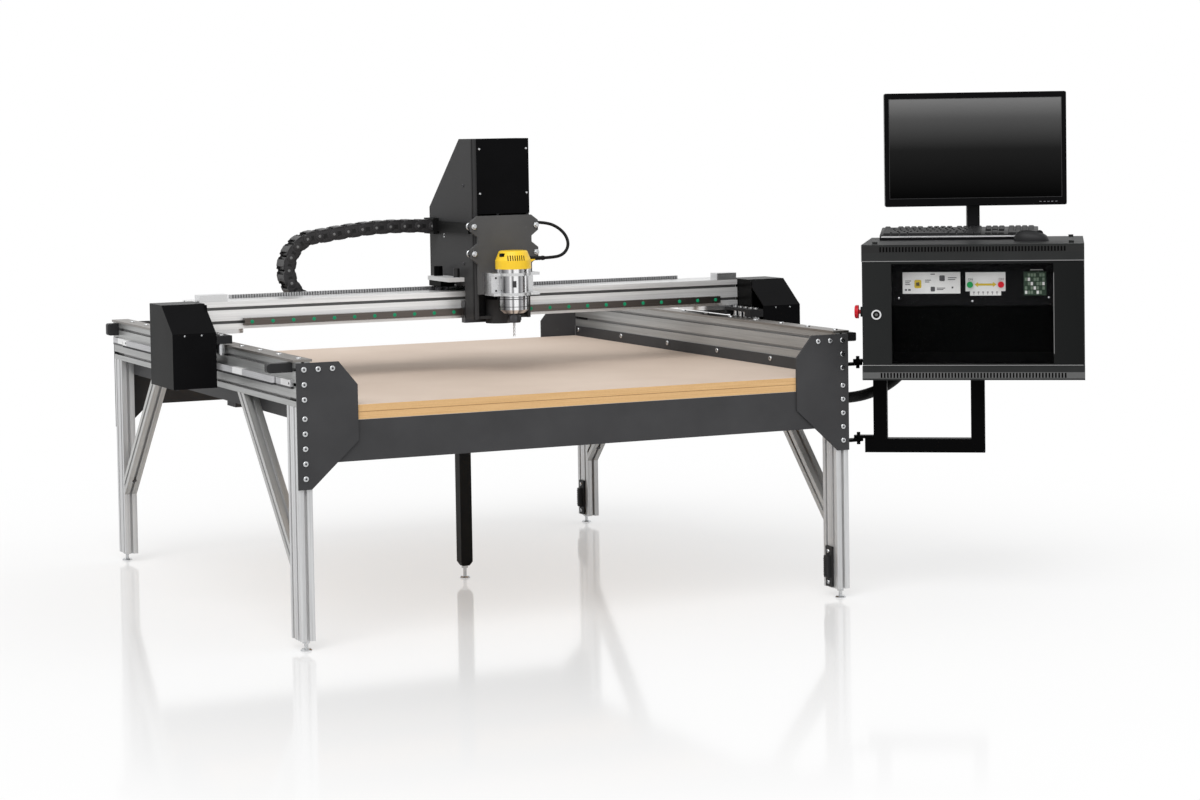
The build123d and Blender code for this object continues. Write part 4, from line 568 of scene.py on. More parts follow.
class Pile:  # lofted shells collected into one mesh, each with the number of its finish
    def __init__(self, place=np.asarray):
        self.place = place
        self.points = []
        self.faces = []
        self.slots = []
        self.count = 0

    def add(self, points, faces, slot):
        self.faces += [[self.count + index for index in face] for face in faces]
        self.points += points.tolist()
        self.slots += [slot] * len(faces)
        self.count += len(points)

    def loft(self, rings, slot=0, loop=False):
        # rings[i, j] is point j round ring i: neighbours are joined by quads, and the two end rings
        # are closed by a face each, or joined to each other where the shell is a loop; place(rings)
        # takes them to the world
        rings = self.place(rings)
        m, n = rings.shape[:2]
        grid = np.arange(m * n).reshape(m, n)
        above = np.roll(grid, -1, 0) if loop else grid[1:]
        below = grid if loop else grid[:-1]
        quads = np.stack([below, np.roll(below, -1, 1), np.roll(above, -1, 1), above], -1).reshape(-1, 4)
        faces = quads.tolist() + ([] if loop else [grid[0, ::-1].tolist(), grid[-1].tolist()])
        # six times the volume, summed over corner triangles seen from the middle: negative is inside out
        flat = rings.reshape(-1, 3) - rings.reshape(-1, 3).mean(0)
        a, b, c, d = (flat[quads[:, k]] for k in range(4))
        volume = np.einsum("ij,ij->", a, np.cross(b, c)) + np.einsum("ij,ij->", a, np.cross(c, d))
        for ring, sign in () if loop else ((flat[grid[0]], -1), (flat[grid[-1]], 1)):
            volume += sign * np.einsum("j,ij->", ring[0], np.cross(ring[1:-1], ring[2:]))
        step = -1 if volume < 0 else 1
        self.add(rings.reshape(-1, 3), [face[::step] for face in faces], slot)


def addObject(name, data):
    thing = bpy.data.objects.new(name, data)
    bpy.context.scene.collection.objects.link(thing)
    return thing


def addPiece(name, pile, materials, body=None, crease=35.0):
    # one mesh object at the origin, shaded smooth up to the crease angle
    mesh = bpy.data.meshes.new(name)
    mesh.from_pydata(pile.points, [], pile.faces)
    for material in materials:
        mesh.materials.append(material)
    mesh.polygons.foreach_set("material_index", pile.slots)
    mesh.polygons.foreach_set("use_smooth", [True] * len(pile.faces))
    mesh.set_sharp_from_angle(angle=math.radians(crease))
    mesh.update()
    piece = addObject(name, mesh)
    if body:
        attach(piece, body)
    return piece


def meshOf(thing):
    # points and faces of the mesh that a curve or text makes
    mesh = bpy.data.meshes.new_from_object(thing)
    flat = np.empty(len(mesh.vertices) * 3)
    mesh.vertices.foreach_get("co", flat)
    faces = [list(face.vertices) for face in mesh.polygons]
    bpy.data.meshes.remove(mesh)
    return flat.reshape(-1, 3), faces


def circle(count):
    angle = np.arange(count) * 2 * math.pi / count
    return np.stack([np.cos(angle), np.sin(angle)], -1)


def softPolygon(corners, rounding, steps=3):
    # corner P becomes (1-t)^2 A + 2t(1-t) P + t^2 B, with A and B on its edges, rounding away from P
    here = np.asarray(corners, float)
    toLast = np.roll(here, 1, 0) - here
    toNext = np.roll(here, -1, 0) - here
    start = here + toLast / np.linalg.norm(toLast, axis=1, keepdims=True) * rounding
    end = here + toNext / np.linalg.norm(toNext, axis=1, keepdims=True) * rounding
    t = np.linspace(0.0, 1.0, steps)[:, None, None]
    curve = (1 - t) ** 2 * start + 2 * t * (1 - t) * here + t ** 2 * end
    return curve.transpose(1, 0, 2).reshape(-1, 2)


def rectangle(low, high):
    return [(low[0], low[1]), (high[0], low[1]), (high[0], high[1]), (low[0], high[1])]


def stack(profiles, levels, axis):
    # profile i at level i along the named axis, its two numbers on the other axes in order
    flat = np.asarray(profiles, float)
    lift = np.broadcast_to(np.asarray(levels, float)[:, None], flat.shape[:2])
    columns = [flat[..., 0], flat[..., 1]]
    columns.insert("xyz".index(axis), lift)
    return np.stack(columns, -1)


def lathe(radii, levels, axis, centre=(0.0, 0.0, 0.0), count=24):
    # circle of radius i at level i
    rings = np.asarray(radii, float)[:, None, None] * circle(count)
    return stack(rings, levels, axis) + np.asarray(centre)


def slab(low, high, levels, axis, rounding=0.0008, edge=0.0004):
    # rectangle carried along the axis, drawn in by edge at its last level
    first = softPolygon(rectangle(low, high), rounding)
    last = softPolygon(rectangle(np.add(low, edge), np.subtract(high, edge)), rounding)
    near = levels[1] - math.copysign(edge, levels[1] - levels[0])
    return stack([first, first, last], [levels[0], near, levels[1]], axis)


def screwHead(pile, centre, axis, radius, slot=0):
    # low dome with a round socket, standing on its seat towards the axis's minus end
    radii = radius * np.array([1.0, 1.0, 0.82, 0.5, 0.42, 0.40])
    levels = radius * np.array([0.3, -0.25, -0.5, -0.6, -0.6, -0.2])
    pile.loft(lathe(radii, levels, axis, centre, 16), slot)


plugRow = {"first": -0.6875, "pitch": 0.060, "count": 25, "height": 0.794, "radius": 0.0052}
plugGreen = mouldedPlastic("plugGreen", (0.01, 0.30, 0.14), 0.4, 900.0)


def buildRailPlugs():
    # a green plug in each hole of the linear rail
    pile = Pile()
    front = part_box("x_rail_and_rack")[0][1]
    radii = plugRow["radius"] * np.array([1.0, 1.0, 0.8])
    for k in range(plugRow["count"]):
        centre = (plugRow["first"] + k * plugRow["pitch"], front, plugRow["height"])
        pile.loft(lathe(radii, [0.001, -0.0006, -0.0010], "y", centre, 14))
    addPiece("railPlugs", pile, [plugGreen], "gantry")


buildRailPlugs()
print("rail plugs")


chain = {
    "middle": 0.048, "wide": 0.065, "tall": 0.038, "bendX": -0.421, "bendZ": 0.92055, "radius": 0.093,
    "bracket": (-0.075, 1.034), "fixedX": 0.100, "arch": 0.010,
    "upperLinks": 8, "lowerLinks": 12, "bendLinks": 4,
}
linkShape = {  # in pitches along and half heights out
    "plate": [(-0.52, -0.94), (0.40, -0.94), (0.56, -0.50), (0.56, 0.50), (0.40, 0.94), (-0.52, 0.94)],
    "lid": [(-0.30, 0.84), (0.28, 0.84), (0.24, 1.0), (-0.26, 1.0)],
    "raised": rectangle((-0.30, -0.30), (0.02, 0.30)),
    "core": rectangle((-0.5, -0.6), (0.5, 0.6)),
    "plateFace": (0.96, 0.94), "pivot": 0.5, "lobe": (0.66, 0.66, 0.60), "pin": (0.22, 0.22, 0.16),
    # metres in from the side of the chain
    "plateIn": (0.006, 0.0024, 0.0018), "lobeIn": (0.004, 0.0006, 0.0), "pinIn": (0.001, -0.0005, -0.0010),
    "raisedIn": (0.003, 0.0008), "lidIn": 0.001, "coreIn": 0.007,
}
chainGrey = mouldedPlastic("chainGrey", (0.030, 0.029, 0.030), 0.4)
# pins paler than the plates as painted highlight
chainPinHighlight = mouldedPlastic("chainPinHighlight", grey(0.16), 0.3)


def chainLink(pile, origin, ahead, pitch):
    # one link in its own frame (along, across, out): two side plates with pivot lobes, two lids
    ahead = np.asarray(ahead, float)
    out = np.array([-ahead[1], ahead[0]])
    half = chain["tall"] / 2
    edge = chain["wide"] / 2
    pivot = (linkShape["pivot"] * pitch, 0, 0)

    def place(points):
        s, y, n = np.moveaxis(np.asarray(points, float), -1, 0)
        x = origin[0] + s * ahead[0] + n * out[0]
        z = origin[1] + s * ahead[1] + n * out[1]
        return np.stack([x, chain["middle"] + y, z], -1)

    def profile(name, rounding, scale=(1.0, 1.0)):
        return softPolygon(np.multiply(linkShape[name], (pitch, half)) * scale, rounding)

    def inwards(name):
        return edge - np.array(linkShape[name])

    plate = profile("plate", 0.0025)
    plateFace = profile("plate", 0.0025, linkShape["plateFace"])
    raised = profile("raised", 0.0012)
    core = profile("core", 0.002)
    for side in (-1, 1):
        lid = profile("lid", 0.0008, (1, side))
        lobe, pin = (half * np.array(linkShape[name]) for name in ("lobe", "pin"))
        pile.loft(place(stack([plate, plate, plateFace], side * inwards("plateIn"), "y")), 1)
        pile.loft(place(lathe(lobe, side * inwards("lobeIn"), "y", pivot, 18)), 1)
        # pale pins: painted highlight
        pile.loft(place(lathe(pin, side * inwards("pinIn"), "y", pivot, 12)), 2)
        pile.loft(place(stack([raised, raised], side * inwards("raisedIn"), "y")), 0)
        pile.loft(place(stack([lid, lid], [-inwards("lidIn"), inwards("lidIn")], "y")), 1)
    # dark core: painted shade inside the chain, seen between the lids
    pile.loft(place(stack([core, core], [-inwards("coreIn"), inwards("coreIn")], "y")), 0)


def chainRow(pile, start, end, count, arch=0.0):
    # joints along the straight run, lifted by arch * sin(pi t)
    t = np.linspace(0.0, 1.0, count + 1)[:, None]
    joints = np.asarray(start) * (1 - t) + np.asarray(end) * t + arch * np.sin(math.pi * t) * (0.0, 1.0)
    for here, there in zip(joints[:-1], joints[1:]):
        pitch = np.linalg.norm(there - here)
        chainLink(pile, (here + there) / 2, (there - here) / pitch, pitch)


def chainCurve(pile, first, last):
    # angle a runs from straight up towards -X: place = centre + R (-sin a, cos a), along = (cos a, sin a)
    count, radius = chain["bendLinks"], chain["radius"]
    step = math.radians(last - first) / count
    for k in range(count):
        a = math.radians(first) + (k + 0.5) * step
        ahead = (math.cos(a), math.sin(a))
        origin = (chain["bendX"] - radius * ahead[1], chain["bendZ"] + radius * ahead[0])
        chainLink(pile, origin, ahead, step * radius)


def buildChain():
    black = [finishes["chainPlasticAndShade"], chainGrey, chainPinHighlight]
    top = (chain["bendX"], chain["bendZ"] + chain["radius"])
    low = (chain["bendX"], chain["bendZ"] - chain["radius"])
    fixed = (chain["fixedX"], low[1])
    pile = Pile()
    chainRow(pile, top, chain["bracket"], chain["upperLinks"], chain["arch"])
    upper = addPiece("chainUpperLinks", pile, black)
    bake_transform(upper)
    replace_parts(upper, "chain_upper_run")
    pile = Pile()
    chainRow(pile, fixed, low, chain["lowerLinks"])
    lower = addPiece("chainLowerLinks", pile, black)
    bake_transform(lower)
    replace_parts(lower, "chain_lower_run")
    for name, first, last, body, node in (
        ("chainUpperBend", 0.0, 90.0, "upper_bend", "chain_bend_upper"),
        ("chainLowerBend", 90.0, 180.0, "lower_bend", "chain_bend_lower"),
    ):
        pile = Pile()
        chainCurve(pile, first, last)
        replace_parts(addPiece(name, pile, black, body), node)


buildChain()
print("cable chain")


loomCord = {
    "root": (0.8001, -0.8255, 0.6135), "radius": 0.015,
    "route": [(-5, -6.5, -60.5), (26.5, -2, -60.5), (63.5, 5.5, -59), (102.5, 15.5, -54),
              (140, 22.5, -45), (175.5, 26, -31), (206, 27, -11), (233.5, 26.5, 12.5)],
}
routerLead = {
    "root": (0.1245, -0.332, 0.948), "radius": 0.0045,
    "route": [(0, 0, 0), (29, 0, 0.6), (55, 2, 5), (75, 7, 20), (83, 15, 41), (78, 26, 64), (61, 39, 84),
              (35, 53, 97), (2.5, 61.65, 99)],
}


def routeCurve(name, cord):
    # one smooth spline whose control points are the route's points, millimetres from its root
    data = bpy.data.curves.new(name, "CURVE")
    data.dimensions = "3D"
    data.resolution_u = 16
    points = np.asarray(cord["root"]) + np.asarray(cord["route"], float) / 1000
    spline = data.splines.new("NURBS")
    spline.points.add(len(points) - 1)
    spline.points.foreach_set("co", np.column_stack([points, np.ones(len(points))]).ravel())
    spline.order_u = 3
    spline.use_endpoint_u = True
    return addObject(name, data)


def tubeRings(path, radius, count):
    # circle carried along the path on axes kept level: side = up x tangent, rise = tangent x side
    tangent = np.gradient(path, axis=0)
    tangent /= np.linalg.norm(tangent, axis=1, keepdims=True)
    side = np.cross((0.0, 0.0, 1.0), tangent)
    side /= np.linalg.norm(side, axis=1, keepdims=True)
    rise = np.cross(tangent, side)
    ring = circle(count) * radius
    return path[:, None] + ring[None, :, :1] * side[:, None] + ring[None, :, 1:] * rise[:, None]


def pathLength(path):
    return float(np.linalg.norm(np.diff(path, axis=0), axis=1).sum())


def buildLoom():
    curve = routeCurve("loomLine", loomCord)
    path = meshOf(curve)[0]
    bpy.data.objects.remove(curve)
    pile = Pile()
    pile.loft(tubeRings(path, loomCord["radius"], 28))
    loom = addPiece("cableLoom", pile, [finishes["sheathRubber"]], None, 60.0)
    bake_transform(loom)
    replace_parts(loom, "loom")
    print("loom", round(pathLength(path), 4))


def buildRouterCord():
    curve = routeCurve("routerCord", routerLead)
    path = meshOf(curve)[0]
    curve.data.bevel_depth = routerLead["radius"]
    curve.data.bevel_resolution = 6
    curve.data.use_fill_caps = True
    curve.data.materials.append(finishes["sheathRubber"])
    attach(curve, "z_slide")
    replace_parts(curve, "router_cord")


relief = {
    "root": (0.0735, -0.332, 0.948), "long": 0.051, "ribs": 7, "ribDeep": 0.06, "radius": 0.0064,
    "taper": 0.0007, "collar": 0.0012, "collarAt": 0.92, "collarHalf": 0.05,
}


def buildStrainRelief():
    # ribbed sleeve with a collar near its end, t from 0 to 1 along it:
    # r = (radius - taper t)(1 + ribDeep cos(2 pi ribs t)) + collar exp(-((t - collarAt) / collarHalf)^2)
    t = np.linspace(0.0, 1.0, 8 * relief["ribs"] + 1)
    ribs = 1 + relief["ribDeep"] * np.cos(2 * math.pi * relief["ribs"] * t)
    collar = relief["collar"] * np.exp(-((t - relief["collarAt"]) / relief["collarHalf"]) ** 2)
    radii = (relief["radius"] - relief["taper"] * t) * ribs + collar
    pile = Pile()
    pile.loft(lathe(radii, t * relief["long"], "x", relief["root"], 20))
    addPiece("strainRelief", pile, [finishes["sheathRubber"]], "z_slide", 60.0)


buildLoom()
buildRouterCord()
buildStrainRelief()


cutter = {
    "nutLow": 0.769, "nutTop": 0.791, "nutRadius": 0.019, "spindleRadius": 0.0095, "spindleTop": 0.800,
    "bitRadius": 0.0034, "bitTip": 0.730, "fluteTop": 0.758, "twist": 1.5,
    "fluteDeep": 0.42, "chamfer": 0.87, "eased": 0.985,
}


def buildCutter():
    # hexagon nut with turned chamfers, and a two-flute bit:
    # r = bitRadius (1 - fluteDeep |cos|^3 of the twisted angle)
    pile = Pile()
    angle = np.arange(36) * 2 * math.pi / 36
    hexagon = math.cos(math.pi / 6) / np.cos((angle + math.pi / 6) % (math.pi / 3) - math.pi / 6)
    profile = np.stack([np.cos(angle) * hexagon, np.sin(angle) * hexagon], -1) * cutter["nutRadius"]
    roundIn = circle(36) * cutter["nutRadius"] * cutter["chamfer"]
    easedIn = profile * cutter["eased"]
    low, top = cutter["nutLow"], cutter["nutTop"]
    centre = np.array([*routerAxis, 0.0])
    pile.loft(stack([roundIn, easedIn, profile, easedIn, roundIn],
                    [low, low + 0.002, low + 0.004, top - 0.003, top], "z") + centre, 0)
    stem = cutter["spindleRadius"]
    pile.loft(lathe([stem, stem], [low, cutter["spindleTop"]], "z", centre), 0)
    heights = np.linspace(cutter["bitTip"], cutter["fluteTop"], 40)
    turn = cutter["twist"] * 2 * math.pi * np.linspace(0.0, 1.0, len(heights))
    flute = np.abs(np.cos(angle[None] - turn[:, None])) ** 3
    radius = cutter["bitRadius"] * (1 - cutter["fluteDeep"] * flute)
    flutes = np.stack([np.cos(angle) * radius, np.sin(angle) * radius], -1)
    shank = circle(36) * cutter["bitRadius"]
    rings = np.concatenate([flutes, shank[None], shank[None]])
    levels = np.concatenate([heights, [cutter["fluteTop"] + 0.002, low + 0.001]])
    pile.loft(stack(rings, levels, "z") + centre, 1)
    steels = [finishes["oiledSteelAndShade"], finishes["brightSteel"]]
    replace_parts(addPiece("colletAndBit", pile, steels, "spindle"), "collet_bit")


buildCutter()
print("collet and bit")


desk = {
    "top": 0.983, "left": 0.034, "front": 0.266, "wide": 0.441, "deep": 0.122, "frontTall": 0.014,
    "backTall": 0.032, "margin": 0.008, "keyGap": 0.0024, "keyTall": 0.0046, "unit": 0.0184,
    "blockGap": 0.009, "line": (0.0075, 0.0115),
}
keyRows = (  # widths in key units for the main, middle and number blocks, front row first; minus is a gap
    ((1.25, 1.25, 1.25, 6.25, 1.25, 1.25, 1.25, 1.25), (1, 1, 1), (2, 1, 1)),
    ((2.25,) + (1,) * 10 + (2.75,), (-1, 1, -1), (1, 1, 1, 1)),
    ((1.75,) + (1,) * 11 + (2.25,), (), (1, 1, 1, 1)),
    ((1.5,) + (1,) * 12 + (1.5,), (1, 1, 1), (1, 1, 1, 1)),
    ((1,) * 13 + (2,), (1, 1, 1), (1, 1, 1, 1)),
    ((1, -1, 1, 1, 1, 1, -0.5, 1, 1, 1, 1, -0.5, 1, 1, 1, 1), (1, 1, 1), (1, 1, 1, 1)),
)
keyBlack = mouldedPlastic("keyBlack", grey(0.014, 0.015), 0.45, 1800.0)
keyEdgeHighlight = drawnMetal("keyEdgeHighlight", grey(0.72, 0.73), 0.3, (4.0, 500.0, 500.0))


def buildKeyboard(pile):
    # wedge-shaped deck with a silver line along its front as painted highlight, and a tapered cap for every
    # key
    top, left, front = desk["top"], desk["left"], desk["front"]
    back, right = front + desk["deep"], left + desk["wide"]
    side = [(front, top), (back, top), (back, top + desk["backTall"]), (front, top + desk["frontTall"])]
    deck = softPolygon(side, 0.003)
    middle = deck.mean(0)
    small = middle + (deck - middle) * (0.985, 0.93)
    levels = [left, left + 0.002, right - 0.002, right]
    pile.loft(stack([small, deck, deck, small], levels, "x"), 0)
    # silver line on the deck's front: painted highlight
    lineLow, lineHigh = (top + height for height in desk["line"])
    levels = (front + 0.001, front - 0.0012)
    pile.loft(slab((left + 0.004, lineLow), (right - 0.004, lineHigh), levels, "y", 0.001), 1)
    rowPitch = (desk["deep"] - 2 * desk["margin"]) / len(keyRows)
    slope = (desk["backTall"] - desk["frontTall"]) / desk["deep"]
    starts = (0.0, 15 * desk["unit"] + desk["blockGap"], 18 * desk["unit"] + 2 * desk["blockGap"])
    gap = desk["keyGap"] / 2
    for row, blocks in enumerate(keyRows):
        near = front + desk["margin"] + row * rowPitch
        rise = top + desk["frontTall"] + slope * (near + rowPitch / 2 - front)
        for begin, widths in zip(starts, blocks):
            place = left + desk["margin"] + begin
            for width in widths:
                span = abs(width) * desk["unit"]
                if width > 0:
                    low = np.array([place + gap, near + gap])
                    high = np.array([place + span - gap, near + rowPitch - gap])
                    foot = softPolygon(rectangle(low, high), 0.001, 2)
                    head = softPolygon(rectangle(low + (0.002, 0.0022), high - (0.002, 0.001)), 0.001, 2)
                    rings = stack([foot, foot, head], [-0.004, 0.002, desk["keyTall"]], "z")
                    rings[..., 2] += rise + slope * (rings[..., 1] - near - rowPitch / 2)
                    pile.loft(rings, 2)
                place += span


pointer = {
    "left": 0.410, "front": 0.150, "long": 0.096, "wide": 0.058, "tall": 0.033,
    "wheel": (0.022, 0, 0.0195),
}


def addMouse(pile):
    # plan |x/a|^2.6 + |y/b|^2.6 = 1, drawn in as (1 - t^2.6)^(1/2.2) with height t, higher at its palm end
    a, b = pointer["long"] / 2, pointer["wide"] / 2
    plan = np.sign(circle(36)) * np.abs(circle(36)) ** (2 / 2.6) * (a, b)
    t = np.sin(np.linspace(0.0, math.pi / 2, 14))
    shrink = np.maximum(1 - t ** 2.6, 0.0) ** (1 / 2.2)
    shrink[-1] = 0.02
    rings = stack(plan[None] * shrink[:, None, None], t, "z")
    rings[..., 2] *= pointer["tall"] * (0.88 - 0.20 * rings[..., 0] / a)
    corner = np.array([pointer["left"] + a, pointer["front"] + b, desk["top"]])
    pile.loft(rings + corner, 2)
    wheel = lathe([0.009, 0.010, 0.010, 0.009], [-0.003, -0.002, 0.002, 0.003], "y", pointer["wheel"], 20)
    pile.loft(wheel + corner, 0)


def buildDesk():
    pile = Pile(onCabinet)
    buildKeyboard(pile)
    addMouse(pile)
    plastics = [finishes["blackPlastic"], keyEdgeHighlight, keyBlack]
    piece = addPiece("keyboardAndMouse", pile, plastics, "swing")
    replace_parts(piece, "keyboard_and_mouse")


buildDesk()
print("keyboard and mouse")


display = {
    "low": 1.076, "high": 1.396, "half": 0.256, "side": 0.013, "topBand": 0.016, "foot": 0.022,
    "proud": 0.0022, "keys": 5, "keyIn": 0.030, "keyPitch": 0.011, "keySize": (0.006, 0.0015), "keyUp": 0.009,
}
screenDark = screenWithReflection("screenDark", (display["low"] + display["high"]) / 2)
lampWhite = mouldedPlastic("lampWhite", grey(0.25, 0.26), 0.4)
# paler grey of the rim's inner lip, a painted highlight
rimHighlight = mouldedPlastic("rimHighlight", grey(0.035, 0.036), 0.3)


def buildDisplay():
    # raised rim round the screen with a paler inner lip as painted highlight, the screen a little
    # behind it, and a row of keys under the rim's foot
    pile = Pile(onMonitor)
    half, low, high, proud = display["half"], display["low"], display["high"], display["proud"]

    def rim(inset):
        return softPolygon(rectangle((-half + inset, low + inset), (half - inset, high - inset)), 0.006, 5)

    def opening(outset, steps=5):
        innerLow = (-half + display["side"] - outset, low + display["foot"] - outset)
        innerHigh = (half - display["side"] + outset, high - display["topBand"] + outset)
        return softPolygon(rectangle(innerLow, innerHigh), 0.001, steps)

    outer, drawn = rim(0.0), rim(0.001)
    inner, bevel, lip = opening(0.0), opening(0.0015), opening(-0.0012)
    levels = [0.0008, -proud + 0.001, -proud, -proud, -0.0004]
    pile.loft(stack([outer, outer, drawn, bevel, inner], levels, "y"), 0, True)
    # inner lip in a paler grey: painted highlight
    levels = [0.0002, -0.0010, -0.0010, 0.0002]
    pile.loft(stack([inner, inner, lip, lip], levels, "y"), 3, True)
    pile.loft(stack([opening(0.0004, 3)] * 2, [0.0006, -0.0006], "y"), 1)
    wide, tall = display["keySize"]
    for k in range(display["keys"]):
        x = half - display["keyIn"] - k * display["keyPitch"]
        keyLow = (x - wide / 2, low + display["keyUp"])
        keyHigh = np.add(keyLow, (wide, tall))
        pile.loft(slab(keyLow, keyHigh, (0.0, -proud - 0.0004), "y", 0.0004, 0.0002), 2)
    materials = [finishes["panelBlack"], screenDark, lampWhite, rimHighlight]
    addPiece("screenAndRim", pile, materials, "screen")


buildDisplay()
print("screen")


panel = {
    "face": 0.057, "thick": 0.0008, "left": ((0.109, 0.846), (0.266, 0.905)),
    "centre": ((0.280, 0.852), (0.388, 0.904)), "tab": ((0.292, 0.840), (0.376, 0.8525)),
    "board": ((0.437, 0.840), (0.498, 0.905)), "boardFace": 0.051, "blocks": (7, 5),
    "blockSize": (0.0062, 0.0086), "blockFirst": (0.0035, 0.0045), "blockPitch": (0.0078, 0.0118),
    "blockTall": (0.0035, 0.0075, 0.0055),
    "label": ((0.018, 0.0680), (0.052, 0.0705)), "plate": 0.060, "screwRadius": 0.0032,
    "words": (("ON", 0.2865), ("OFF", 0.3695)), "wordLow": 0.8815, "letter": 0.0062,
    "screws": ((0.098, 0.834), (0.298, 0.825), (0.505, 0.834)),
    "arrow": [(0.304, 0.870), (0.314, 0.877), (0.314, 0.873), (0.354, 0.873), (0.354, 0.877),
              (0.364, 0.870), (0.354, 0.863), (0.354, 0.867), (0.314, 0.867), (0.314, 0.863)],
}
cardMarks = (  # sockets, lamps and lines of print: left, low, width and height in 0.1 mm, and finish
    (1410, 8610, 190, 230, 2), (1455, 8665, 100, 110, 1), (1850, 8520, 120, 130, 1),
    (2090, 8800, 150, 160, 1), (2420, 8600, 50, 50, 1), (1150, 8540, 60, 50, 1),
    (1240, 8540, 70, 50, 1), (1160, 8800, 160, 22, 1), (1160, 8750, 120, 22, 1),
    (1160, 8700, 140, 22, 1), (1700, 8820, 160, 20, 1), (1700, 8770, 120, 20, 1),
    (2020, 8600, 230, 20, 1), (2020, 8560, 180, 20, 1), (2320, 8880, 240, 22, 1),
    (2320, 8830, 200, 22, 1), (1850, 8980, 120, 26, 1),
    *((3000 + 125 * k, 8480, 50, 28, 1) for k in range(6)),
    *((3015 + 125 * k, 8430, 20, 35, 1) for k in range(6)),
)
cardWhite = mouldedPlastic("cardWhite", grey(0.78, 0.77), 0.5, 500.0)
markGrey = mouldedPlastic("markGrey", grey(0.09, 0.095), 0.5, 500.0)
markYellow = mouldedPlastic("markYellow", (0.62, 0.46, 0.05), 0.5, 500.0)
boardGreen = mouldedPlastic("boardGreen", (0.030, 0.055, 0.036), 0.5, 300.0)
blockGreen = mouldedPlastic("blockGreen", (0.16, 0.22, 0.16), 0.45, 600.0)


def wordMesh(word, height, left, low, level):
    # flat letters of a text curve, read as a mesh and stood in the panel's plane
    data = bpy.data.curves.new(word, "FONT")
    data.body = word
    data.size = height * 1.4
    data.extrude = 0.0002
    words = bpy.data.objects.new(word, data)
    points, faces = meshOf(words)
    bpy.data.objects.remove(words)
    x, y, z = points.T
    return np.stack([left + x, level - z, low + y], -1), faces


def buildPanelFaces():
    # printed cards with sockets and marks, and the terminal board with its rows of blocks
    pile = Pile(onCabinet)
    face = panel["face"]
    proud = face - panel["thick"]

    def card(low, high, slot, near=face + 0.0004, far=proud, rounding=0.0008):
        pile.loft(slab(low, high, (near, far), "y", rounding, 0.0002), slot)

    for name in ("left", "centre", "tab"):
        card(*panel[name], 0)
    for *sizes, slot in cardMarks:
        left, low, wide, tall = np.array(sizes) / 10000
        corner = (left + wide, low + tall)
        card((left, low), corner, slot, proud + 0.0004, proud - 0.0006, min(wide, tall) * 0.2)
    arrow = softPolygon(panel["arrow"], 0.0004, 2)
    pile.loft(stack([arrow, arrow], [proud + 0.0004, proud - 0.0004], "y"), 2)
    for word, left in panel["words"]:
        points, faces = wordMesh(word, panel["letter"], left, panel["wordLow"], proud - 0.0002)
        pile.add(onCabinet(points), [corner[::-1] for corner in faces], 1)
    near = panel["boardFace"]
    card(*panel["board"], 3, near + 0.0004, near - 0.0008)
    low = np.asarray(panel["board"][0])
    columns, rows = panel["blocks"]
    for row in range(rows):
        for column in range(columns):
            corner = low + (np.multiply(panel["blockPitch"], (column, row)) + panel["blockFirst"])
            if (row * 3 + column * 2) % 7 < 5:
                tall = panel["blockTall"][(row + column) % 3]
                slot = 4 if (row + column) % 4 else 0
                card(corner, corner + panel["blockSize"], slot, near, near - tall, 0.0006)
    card(*(low + panel["label"]), 0, panel["plate"] + 0.0004, panel["plate"] - 0.0006, 0.0004)
    for across, z in panel["screws"]:
        screwHead(pile, (across, panel["plate"], z), "y", panel["screwRadius"], 5)
    materials = [cardWhite, markGrey, markYellow, boardGreen, blockGreen, finishes["zincPlate"]]
    addPiece("panelCards", pile, materials, "swing")


buildPanelFaces()
print("rack panel faces")


fixings = {
    "cover": [(-0.038, 1.258), (0.1055, 1.258), (-0.038, 1.132), (0.1055, 1.132)], "coverRadius": 0.0032,
    "side": [(-0.182, 1.155), (-0.178, 0.932)], "sideRadius": 0.0046, "sideOut": 0.011,
    "duct": [(-0.029, 1.0125), (-0.029, 1.0040)], "ductRadius": 0.0030,
    "boxes": [(0.924, 0.774), (0.877, 0.774)], "boxRadius": 0.0026,
    "axleOut": 0.0953, "axleHeights": (1.040, 0.963), "axleRadius": 0.0060,
}


def hexHead(pile, centre, radius):
    # washer with a chamfered hexagon head on it, facing the front
    washer = lathe(radius * np.array([1.3, 1.3, 1.2]), [0.0005, -0.0012, -0.0016], "y", centre, 20)
    head = lathe(radius * np.array([1.0, 1.0, 0.82]), [-0.001, -0.0052, -0.0064], "y", centre, 6)
    pile.loft(washer)
    pile.loft(head)


def buildFixings():
    # screws of the housing and of the drive covers, and the axle bolts of the V wheels
    cover, boxes, plate = (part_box(node)[0] for node in ("z_cover", "drive_covers", "z_plate"))
    zinc = finishes["zincPlate"]
    pile = Pile()
    for x, z in fixings["cover"]:
        screwHead(pile, (x, cover[1], z), "y", fixings["coverRadius"])
    left = cover[0] - fixings["sideOut"]
    for y, z in fixings["side"]:
        screwHead(pile, (left, y, z), "x", fixings["sideRadius"], 1)
    for y, z in fixings["duct"]:
        screwHead(pile, (left, y, z), "x", fixings["ductRadius"])
    addPiece("housingScrews", pile, [zinc, finishes["oiledSteelAndShade"]], "carriage")
    pile = Pile()
    for x, z in fixings["boxes"]:
        for side in (-1, 1):
            screwHead(pile, (side * x, boxes[1], z), "y", fixings["boxRadius"])
    addPiece("coverScrews", pile, [zinc], "gantry")
    pile = Pile()
    for side in (-1, 1):
        for z in fixings["axleHeights"]:
            x = routerAxis[0] + side * fixings["axleOut"]
            hexHead(pile, (x, plate[1], z), fixings["axleRadius"])
    addPiece("axleBolts", pile, [zinc], "z_slide")


